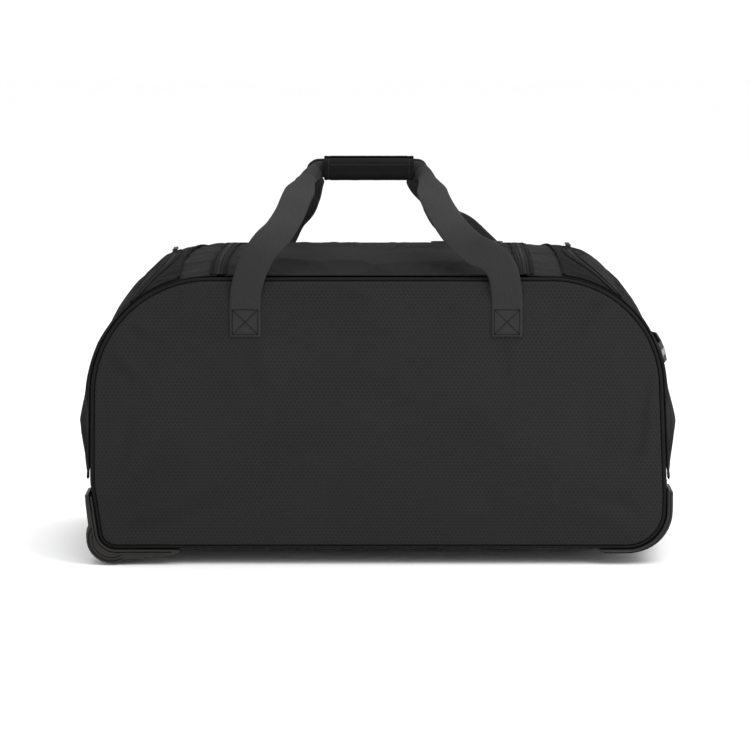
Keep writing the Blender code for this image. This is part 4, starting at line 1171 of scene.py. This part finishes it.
def pocket_pins(end, distance, y, rows, columns):
    """The sewn points of a pocket: its border and the band under its zip."""
    apex = along_rim(ZIP_APEX_X[end], TOP)
    foot = along_rim(*ZIP_FOOT[end])
    arch = apex + (foot - apex) * (np.abs(y) / GUSSET_HALF) ** ZIP_ARCH_POWER
    band = np.flatnonzero(np.abs(distance - arch).ravel() < 0.013)
    return np.union1d(band, border(rows, columns))


# ---------------------------------------------------------------- carrying handles
def smooth_path(points, pieces):
    """A curve through every point, Catmull-Rom between neighbours."""
    points = [np.array(p, dtype=float) for p in points]
    found = []
    last = len(points) - 1
    for index in range(last):
        p0, p1 = points[max(index - 1, 0)], points[index]
        p2, p3 = points[index + 1], points[min(index + 2, last)]
        for piece in range(pieces):
            t = piece / pieces
            found.append(0.5 * (2 * p1 + (p2 - p0) * t + (2 * p0 - 5 * p1 + 4 * p2 - p3) * t ** 2
                                + (3 * p1 - p0 - 3 * p2 + p3) * t ** 3))
    found.append(points[-1])
    return np.array(found)


def strap_route(side):
    """Middle of a whole handle: from its stitched end over the grip to the other stitched end."""
    points = np.array(STRAP_LINE)
    if side > 0:
        x, y, z = points.T
        below = 1 - smooth_step(z, 0.44, 0.49)
        full, height = np.where(x[:, None] > 0, REAR_LEAN[1], REAR_LEAN[-1]).T
        width = np.where(z > height, 0.058, 0.045)
        lean = full * np.exp(-((z - height) / width) ** 2) * smooth_step(z, PATCH_TOP + 0.003, 0.370)
        lean += 0.009 * np.exp(-((z - 0.484) / 0.022) ** 2) * (1 - smooth_step(z, 0.496, 0.5035))
        points = np.stack([x + REAR_SHIFT * below - np.sign(x) * lean, -y, z + REAR_RISE * (1 - below)],
                          axis=1)
    line = smooth_path(points, 14)
    drop = np.linspace(ANCHOR_LOW.z, PATCH_TOP - 0.0002, 24)
    first = np.array([[points[0, 0], points[0, 1], z] for z in drop])
    last = np.array([[points[-1, 0], points[-1, 1], z] for z in drop[::-1]])
    return np.vstack([first, line, last])


def webbing_sections(line, side):
    """Width directions and facing directions along a handle."""
    run = unit(np.gradient(line, axis=0))
    z = line[:, 2]
    lean = smooth_step(z, 0.40, 0.48) * (1 - smooth_step(z, 0.492, 0.499))
    facing_way = np.stack([0 * z, 0 * z + side, 0.8 * lean], axis=1)
    across = unit(np.cross(facing_way, run))
    outward = np.cross(run, across)
    sign = np.sign(outward[:, 1] * side)
    outward *= np.where(sign == 0, 1, sign)[:, None]
    tuck = smooth_step(z, 0.480, 0.4975)
    width = WEBBING + (GRIP_STRAP_WIDTH - WEBBING) * tuck
    return across, outward, width, tuck


def carrying_handle(side, name):
    """A handle's webbing from stitching to stitching, with its stitching and its half of the grip."""
    body = name + "_handle"
    line = strap_route(side)
    across, outward, width, tuck = webbing_sections(line, side)
    bend = smooth_step(line[:, 2], PATCH_TOP + 0.004, PATCH_TOP + 0.03) * (1 - tuck)
    ring = []
    half_thick = WEBBING_THICK / 2 - 0.0001
    shares = np.concatenate([np.linspace(-1, 1, 19), np.linspace(1, -1, 19)])
    faces_out = np.concatenate([np.ones(19), -np.ones(19)])
    for share, face in zip(shares, faces_out):
        rounding = math.sqrt(max(1 - abs(share) ** 14, 0.02))
        rib = 0.00012 * math.cos(share * 7 * math.pi)
        ripple = 0.0006 * np.sin(line[:, 2] * 170 + share * 1.3) * bend
        cup = (0.0010 * bend + 0.0032 * tuck) * (1 - share ** 2)
        height = face * (half_thick * rounding + rib * rounding) + cup + ripple * share
        ring.append(line + across * (width * share / 2)[:, None] + outward * height[:, None])
    points = np.array(ring).transpose(1, 0, 2)
    u = np.broadcast_to(run_along(line)[:, None], points.shape[:2])
    v = np.broadcast_to((shares * WEBBING / 2)[None, :], points.shape[:2])
    columns = len(shares)
    faces = grid_faces(len(line), columns, wrap_columns=True)
    faces.append(tuple(range(columns)))
    faces.append(tuple(reversed(range((len(line) - 1) * columns, len(line) * columns))))
    strap = mesh_from(name + "_webbing", points, faces, cloth_of(u, v))
    outward_faces(strap)
    axis = (0.0, side * (FACE + WEBBING_THICK), PATCH_TOP)
    bend_zone = (Vector(axis) - Vector((0, 0, 0.003)), Vector(axis) + Vector((0, 0, 0.007)))
    ends = [name + "_strap_anchor_wheel", name + "_strap_anchor_handle"]
    place_piece(strap, "webbing", ("bag", body, *bend_zone), "webbing", name + "_carry_strap", *ends)
    box_stitching(side, name)
    grip_wrap(side, name)


def outward_faces(obj):
    with edited(obj.data) as shape:
        bmesh.ops.recalc_face_normals(shape, faces=shape.faces)


def box_stitching(side, name):
    """A sewn rectangle with a cross in it, at both ends of a handle."""
    lines = []
    up = np.array([0.0, float(side), 0.0])
    proud, inset = 0.0004, (0.0035, 0.0030)
    y = side * (FACE + WEBBING_THICK + proud)
    for low, high in ((ANCHOR_LOW, ANCHOR_HIGH), (ANCHOR2_LOW, ANCHOR2_HIGH)):
        shift = REAR_SHIFT if side > 0 else 0.0
        x0, x1 = low.x + inset[0] + shift, high.x - inset[0] + shift
        z0, z1 = low.z + inset[1], high.z - inset[1]
        corners = [(x0, y, z0), (x1, y, z0), (x1, y, z1), (x0, y, z1)]
        for first, second in zip(corners, corners[1:] + corners[:1]):
            lines.append((np.array([first, second]), up))
        lines.append((np.array([corners[0], corners[2]]), up))
        lines.append((np.array([corners[1], corners[3]]), up))
    row = stitches(name + "_box_stitching", lines, 0.0030, 0.00052)
    place_piece(row, "black_thread", "bag", "webbing")


def grip_wrap(side, name):
    """Half of the padded cover around both handles, open towards the other half."""
    low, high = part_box(name + "_grip_wrap")
    middle = (low.z + high.z) / 2
    half_height = (high.z - low.z) / 2
    thick = high.y - low.y
    gap, corner = 0.0003, 0.0095
    out_x, out_z = thick - 0.0002, half_height - 0.0004
    shell = rounded_path(((gap, -out_z, 0.0), (out_x, -out_z, corner), (out_x, out_z, corner),
                          (gap, out_z, 0.0)), math.radians(8), closed=False)
    outer = resample(shell, 44)[0]
    inner = np.array([(gap, half_height - 0.0028), (0.0041, half_height - 0.0030), (0.0062, 0.006),
                      (0.0064, 0.0), (0.0062, -0.006), (0.0041, -half_height + 0.0030),
                      (gap, -half_height + 0.0028)])
    inner = resample(inner, 20)[0]
    ring = np.vstack([outer, inner])
    sections = np.concatenate([[0, 0.004, 0.012], np.linspace(0.03, 0.97, 64), [0.988, 0.996, 1.0]])
    rows = []
    for share in sections:
        x = low.x + (high.x - low.x) * share
        from_end = min(share, 1 - share) * (high.x - low.x)
        shrink = 0.0011 * (1 - min(from_end / 0.0014, 1.0)) ** 2
        channel = 0.0009 * math.exp(-((from_end - 0.0062) / 0.0011) ** 2)
        angle = np.arctan2(ring[:, 1], ring[:, 0] - 0.003)
        out = np.stack([np.cos(angle), np.sin(angle)], axis=1)
        lumps = cloth_noise(np.stack([0 * angle + x, ring[:, 0], ring[:, 1]], axis=1), 70.0, side * 4.0)
        face = np.concatenate([np.ones(len(outer)), np.full(len(inner), -0.2)])
        fold = np.exp(-((ring[:, 1] - half_height * 0.62) / 0.0011) ** 2) * (side < 0)
        inside = np.abs(ring[:, 1]) < half_height - 0.0006
        move = face * (0.0005 * lumps * inside - shrink - channel - 0.0006 * fold)
        moved = ring + out * move[:, None]
        moved[:, 0] = np.maximum(moved[:, 0], gap)
        rows.append(np.stack([0 * angle + x, side * moved[:, 0], middle + moved[:, 1]], axis=1))
    points = np.array(rows)
    count = points.shape[1]
    faces = grid_faces(len(rows), count, wrap_columns=True)
    for row in (0, len(rows) - 1):
        ends = [row * count + k for k in range(count)]
        split = len(outer)
        for k in range(len(inner) - 1):
            a, b = split + k, split + k + 1
            first = round((len(outer) - 1) * (1 - k / (len(inner) - 1)))
            second = round((len(outer) - 1) * (1 - (k + 1) / (len(inner) - 1)))
            faces.append(tuple([ends[a], ends[b]] + [ends[m] for m in range(second, first + 1)]))
    cloth = cloth_of(points[..., 0], points[..., 2] + points[..., 1])
    obj = mesh_from(name + "_grip_cover", points, faces, cloth)
    outward_faces(obj)
    place_piece(obj, "grip", name + "_handle", "grip_fabric", name + "_grip_wrap")

    lines = []
    for x in (low.x + 0.0062, high.x - 0.0062):
        path = np.array([(x, side * (a - 0.0005), middle + b) for a, b in outer[4:-4]])
        ups = np.array([(0.0, side * math.cos(math.atan2(b, a - 0.003)), math.sin(math.atan2(b, a - 0.003)))
                        for a, b in outer[4:-4]])
        lines.append((path, ups))
    if side < 0:
        flap_edge = middle + half_height * 0.62 - 0.0028
        path = [(x, low.y + 0.0003, flap_edge) for x in np.linspace(low.x + 0.008, high.x - 0.008, 30)]
        lines.append((path, (0.0, -1.0, 0.1)))
    row = stitches(name + "_grip_stitching", lines, 0.0030, 0.0004)
    place_piece(row, "thread", name + "_handle", "grip_fabric")


# ---------------------------------------------------------------- mouldings
def refined(node, width, angle=28.0):
    """A copy of a frame node with its flat faces cleaned and its edges rounded."""
    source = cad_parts[node]
    data = source.data.copy()
    data.transform(source.matrix_world)
    with edited(data) as shape:
        bmesh.ops.remove_doubles(shape, verts=shape.verts, dist=0.00002)
        bmesh.ops.dissolve_limit(shape, angle_limit=math.radians(0.8), verts=shape.verts, edges=shape.edges)
        bmesh.ops.recalc_face_normals(shape, faces=shape.faces)
    obj = new_object(node + "_moulded", data)
    rounding = obj.modifiers.new("rounded edges", "BEVEL")
    rounding.width = width
    rounding.segments = 2
    rounding.limit_method = "ANGLE"
    rounding.angle_limit = math.radians(angle)
    rounding.use_clamp_overlap = True
    rounding.miter_outer = "MITER_ARC"
    data.shade_smooth()
    data.set_sharp_from_angle(angle=math.radians(angle))
    rounding.harden_normals = True
    return obj


def corner_route(end, low_z, beyond_x, lift):
    """The outline around a lower corner, from a height on the end to a place under the base."""
    top = along_rim(end * HALF_LENGTH, low_z)
    foot = along_rim(beyond_x, BASE)
    if end > 0 and foot < top:
        foot += RIM_LENGTH
    x, z, out_x, out_z = on_rim(np.linspace(top, foot, 120))
    return np.stack([x + out_x * lift, z + out_z * lift], axis=1)


def guards(side, name):
    """A wheel housing and the corner guard at the other end, with ridges on their faces and a thin
    near-black cord of painted groove shade beside each ridge.
    """
    for node in (name + "_wheel_housing", name + "_corner_guard"):
        place_piece(refined(node, 0.0011), "moulding", "bag", "moulding", node)
    face = side * -HOUSING_LOW.y
    ridges = [("housing", corner_route(-1, *HOUSING_RIDGE, lift)) for lift in HOUSING_RIDGE_LIFTS]
    angle = np.radians(np.linspace(150, 300, 60))
    for radius in WHEEL_ARCH_RADII:
        ridges.append(("wheel_arch", np.stack([WHEEL.x + radius * np.cos(angle),
                                               WHEEL.z + radius * np.sin(angle)], axis=1)))
    ridges.append(("guard", corner_route(1, *GUARD_RIDGE, GUARD_RIDGE_LIFT)))
    for index, (part, flat) in enumerate(ridges):
        ahead = unit(np.gradient(flat, axis=0))
        # The second kind is a thin near-black cord beside each ridge: painted shade standing for the shadow
        # in the groove, not a colour of the moulding.
        for kind, look, shift, radius in (("ridge", "moulding", 0.0, 0.0012),
                                          ("groove", "binding", 0.0015, 0.0006)):
            moved = flat + np.stack([-ahead[:, 1], ahead[:, 0]], axis=1) * shift
            path = np.stack([moved[:, 0], 0 * moved[:, 0] + face, moved[:, 1]], axis=1)
            rib = tube("%s_%s_%s_%d" % (name, part, kind, index), path, radius, 8)
            place_piece(rib, look, "bag", "moulding")


def lathe(name, profile, centre):
    """A ring turned about Y from (radius, offset) points."""
    sides = 96
    profile = np.array(profile)
    angle = np.linspace(0, 2 * math.pi, sides, endpoint=False)
    points = np.stack([
        centre.x + profile[:, 0][None, :] * np.cos(angle)[:, None],
        centre.y + np.broadcast_to(profile[:, 1], (sides, len(profile))),
        centre.z + profile[:, 0][None, :] * np.sin(angle)[:, None]], axis=-1)
    obj = mesh_from(name, points, grid_faces(sides, len(profile), True, True))
    outward_faces(obj)
    obj.data.set_sharp_from_angle(angle=math.radians(45))
    return obj


def wheel(side, name):
    """A rubber tyre on a moulded hub with six spokes a side."""
    centre = Vector((WHEEL.x, -side * WHEEL.y, WHEEL.z))
    radius = (TYRE_HIGH.z - TYRE_LOW.z) / 2
    half = (TYRE_HIGH.y - TYRE_LOW.y) / 2
    bore = (HUB_HIGH.z - HUB_LOW.z) / 2 + 0.0003
    profile = [(bore, half - 0.0008), (bore + 0.0010, half), (radius - 0.0042, half),
               (radius - 0.0020, half - 0.0012), (radius - 0.0006, half - 0.0035), (radius, half - 0.0060),
               (radius, 0.0030), (radius - 0.0010, 0.0022)]
    profile += [(r, -offset) for r, offset in reversed(profile)]
    tyre = lathe(name + "_tyre_rubber", profile, centre)
    place_piece(tyre, "tyre", name + "_wheel", "wheel_tyre", name + "_wheel_tyre")
    hub = refined(name + "_wheel_hub", 0.0005, 30.0)
    place_piece(hub, "dark_moulding", name + "_wheel", "moulding", name + "_wheel_hub")
    spokes = []
    for face in (-1, 1):
        for k in range(6):
            angle = math.radians(60 * k + 15)
            run = [(centre.x + r * math.cos(angle), centre.y + face * 0.0062, centre.z + r * math.sin(angle))
                   for r in (0.0090, 0.0160, 0.0236)]
            spokes.append(tube("spoke", run, 0.0022, 10, flat=0.8))
    ribs = joined(name + "_hub_spokes", spokes)
    place_piece(ribs, "dark_moulding", name + "_wheel", "moulding")


# ---------------------------------------------------------------- grab loop
def grab_loop():
    """Webbing loop with a pale stripe."""
    """Webbing loop with a pale stripe, and a little folded tab under its end."""
    middle = along_rim(HALF_LENGTH - 0.0130, (LOOP_LOW.z + LOOP_HIGH.z) / 2 - LOOP_DROP)
    half_width = 0.0125
    half_length = LOOP_HIGH.y

    def loop_points(reach, count, lift_more):
        u, v = np.meshgrid(np.linspace(-1, 1, 110), np.linspace(-reach, reach, count), indexing="ij")
        y = u * half_length
        distance = middle - v * half_width
        lift = pocket_lift(1, distance, y) + 0.0030 + WEBBING_THICK * 0.8
        rise = smooth_step(1 - np.abs(u), 0.14, 0.60)
        dome = 0.0004 * (1 - v ** 2)
        return skin(distance, y, lift + 0.0062 * rise + dome + lift_more), y, distance

    for name, reach, count, more, thickness, look, nodes in (
            ("grab_loop_webbing", 1.0, 15, 0.0, 0.0022, "webbing", ["grab_loop"]),
            ("grab_loop_stripe", 0.30, 7, 0.0005, 0.0009, "light_tape", [])):
        points, y, distance = loop_points(reach, count, more)
        obj = fabric_sheet(name, points, cloth_of(y, distance), (1.0, 0.0, 0.0), thickness)
        place_piece(obj, look, "bag", "webbing", *nodes)
    lines = []
    for share in (-0.93, 0.93):
        y = np.full(12, share * half_length)
        distance = middle + np.linspace(-0.8, 0.8, 12) * half_width
        points = skin(distance, y, pocket_lift(1, distance, y) + 0.0054)
        lines.append((points, np.array([0.95, 0.0, 0.3])))
    place_piece(stitches("grab_loop_stitching", lines, 0.0030, 0.0005), "black_thread", "bag", "webbing")


# ---------------------------------------------------------------- pull handle, feet and board
def hard_parts():
    """The pull handle with its bezel, the feet, and the frame's own tubes, rods, pins, axles and board."""
    for node, look, body, slot, width in (
            ("handle_bezel", "dark_moulding", "bag", "moulding", 0.0012),
            ("pull_grip", "dark_moulding", "pull_handle", "moulding", 0.0012),
            ("release_button", "moulding", "button", "moulding", 0.0004),
            ("tube_bracket", "dark_moulding", "bag", "moulding", 0.0008),
            ("front_stand_foot", "dark_moulding", "bag", "moulding", 0.0012),
            ("rear_stand_foot", "dark_moulding", "bag", "moulding", 0.0012)):
        place_piece(refined(node, width), look, body, slot, node)
    grip_low, grip_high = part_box("pull_grip")
    grooves = []
    for sign in (-1, 1):
        for k in range(6):
            y = sign * (0.026 + 0.0062 * k)
            grooves.append(tube("rib", [(grip_high.x - 0.0004, y, grip_low.z + 0.0040),
                                        (grip_high.x + 0.0002, y, (grip_low.z + grip_high.z) / 2),
                                        (grip_high.x - 0.0004, y, grip_high.z - 0.0040)], 0.0010, 8))
    place_piece(joined("pull_grip_ribs", grooves), "dark_moulding", "pull_handle", "moulding")
    heads = []
    inset = 0.0105
    for y in (BEZEL_LOW.y + inset, BEZEL_HIGH.y - inset):
        for z in (BEZEL_LOW.z + inset, BEZEL_HIGH.z - inset):
            head = bevelled_plate("head", ring_outline(0.0, 0.0028), 0.0016, 0.0005)
            head.matrix_world = (Matrix.Translation((BEZEL_LOW.x + 0.0050, y, z))
                                 @ Matrix.Rotation(math.pi / 2, 4, "Y"))
            heads.append(head)
    place_piece(joined("bezel_rivets", heads), "lacquer", "bag", "zip_metal")
    looks = {"base_board": "board"}
    for side in ("front", "rear"):
        looks[side + "_outer_tube"] = "aluminium"
        for kind in ("inner_tube", "push_rod", "lock_pin", "axle"):
            looks[side + "_" + kind] = "steel"
    for node, look in looks.items():
        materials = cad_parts[node].data.materials
        materials.clear()
        materials.append(LOOKS[look])


# ---------------------------------------------------------------- stage, light and camera
def floor_paper():
    level = 0.97
    look = Look("floor_paper", specular=0.2)
    cloud = look.noise(look.node("ShaderNodeTexCoord", out=3), 2.0)
    return look.finish(look.blend(cloud, grey(level), grey(level * 1.01)), 0.9)


def area_light(name, place, target, size, power):
    light = bpy.data.lights.new(name, "AREA")
    light.shape = "SQUARE"
    light.size = size
    light.energy = power
    lamp = new_object(name, light)
    lamp.location = place
    lamp.visible_camera = False
    lamp.rotation_euler = (Vector(target) - Vector(place)).to_track_quat("-Z", "Y").to_euler()


def stage_and_camera():
    """White paper floor and surroundings, two soft lights, and the camera square to the front."""
    floor = mesh_from("floor", [(-9, -7, 0), (9, -7, 0), (9, 11, 0), (-9, 11, 0)], [(0, 1, 2, 3)])
    floor.location.z = -0.0005
    floor.data.materials.append(floor_paper())
    world = bpy.data.worlds.new("studio")
    world.use_nodes = True
    background = world.node_tree.nodes["Background"]
    background.inputs["Color"].default_value = (1.0, 1.0, 1.0, 1.0)
    background.inputs["Strength"].default_value = 1.02
    bpy.context.scene.world = world
    area_light("top_soft", (0.3, -0.2, 2.6), (0.0, 0.0, 0.2), 3.0, 42.0)
    area_light("key", (1.0, -1.1, 1.3), (0.20, 0.0, 0.25), 0.8, 13.0)
    camera = bpy.data.cameras.new("camera")
    camera.lens = CAMERA_FOCAL
    camera.sensor_width = 36.0
    camera.clip_end = 60.0
    obj = new_object("camera", camera)
    obj.location = CAMERA_PLACE
    obj.rotation_euler = (math.radians(90.0 - CAMERA_PITCH), 0.0, 0.0)
    bpy.context.scene.camera = obj
    bpy.context.scene.view_settings.view_transform = "Standard"


def main():
    for side, name in ((-1, "front"), (1, "rear")):
        long_panel(side, name)
        piping(side, name)
    gussets()
    lid()
    main_zip()
    for end, name in ((-1, "wheel"), (1, "handle")):
        end_pocket(end, name)
        pocket_zip(end, name)
        zip_parts(name + "_pocket_slider", name + "_pocket_pull", name + "_pocket_runner",
                  name + "_pocket_tab")
    for name in ("wheel_side", "handle_side"):
        zip_parts("main_zip_slider_" + name, "main_zip_pull_" + name, "main_slider_" + name,
                  "main_pull_" + name)
    for side, name in ((-1, "front"), (1, "rear")):
        carrying_handle(side, name)
        guards(side, name)
        wheel(side, name)
    grab_loop()
    hard_parts()
    stage_and_camera()


main()
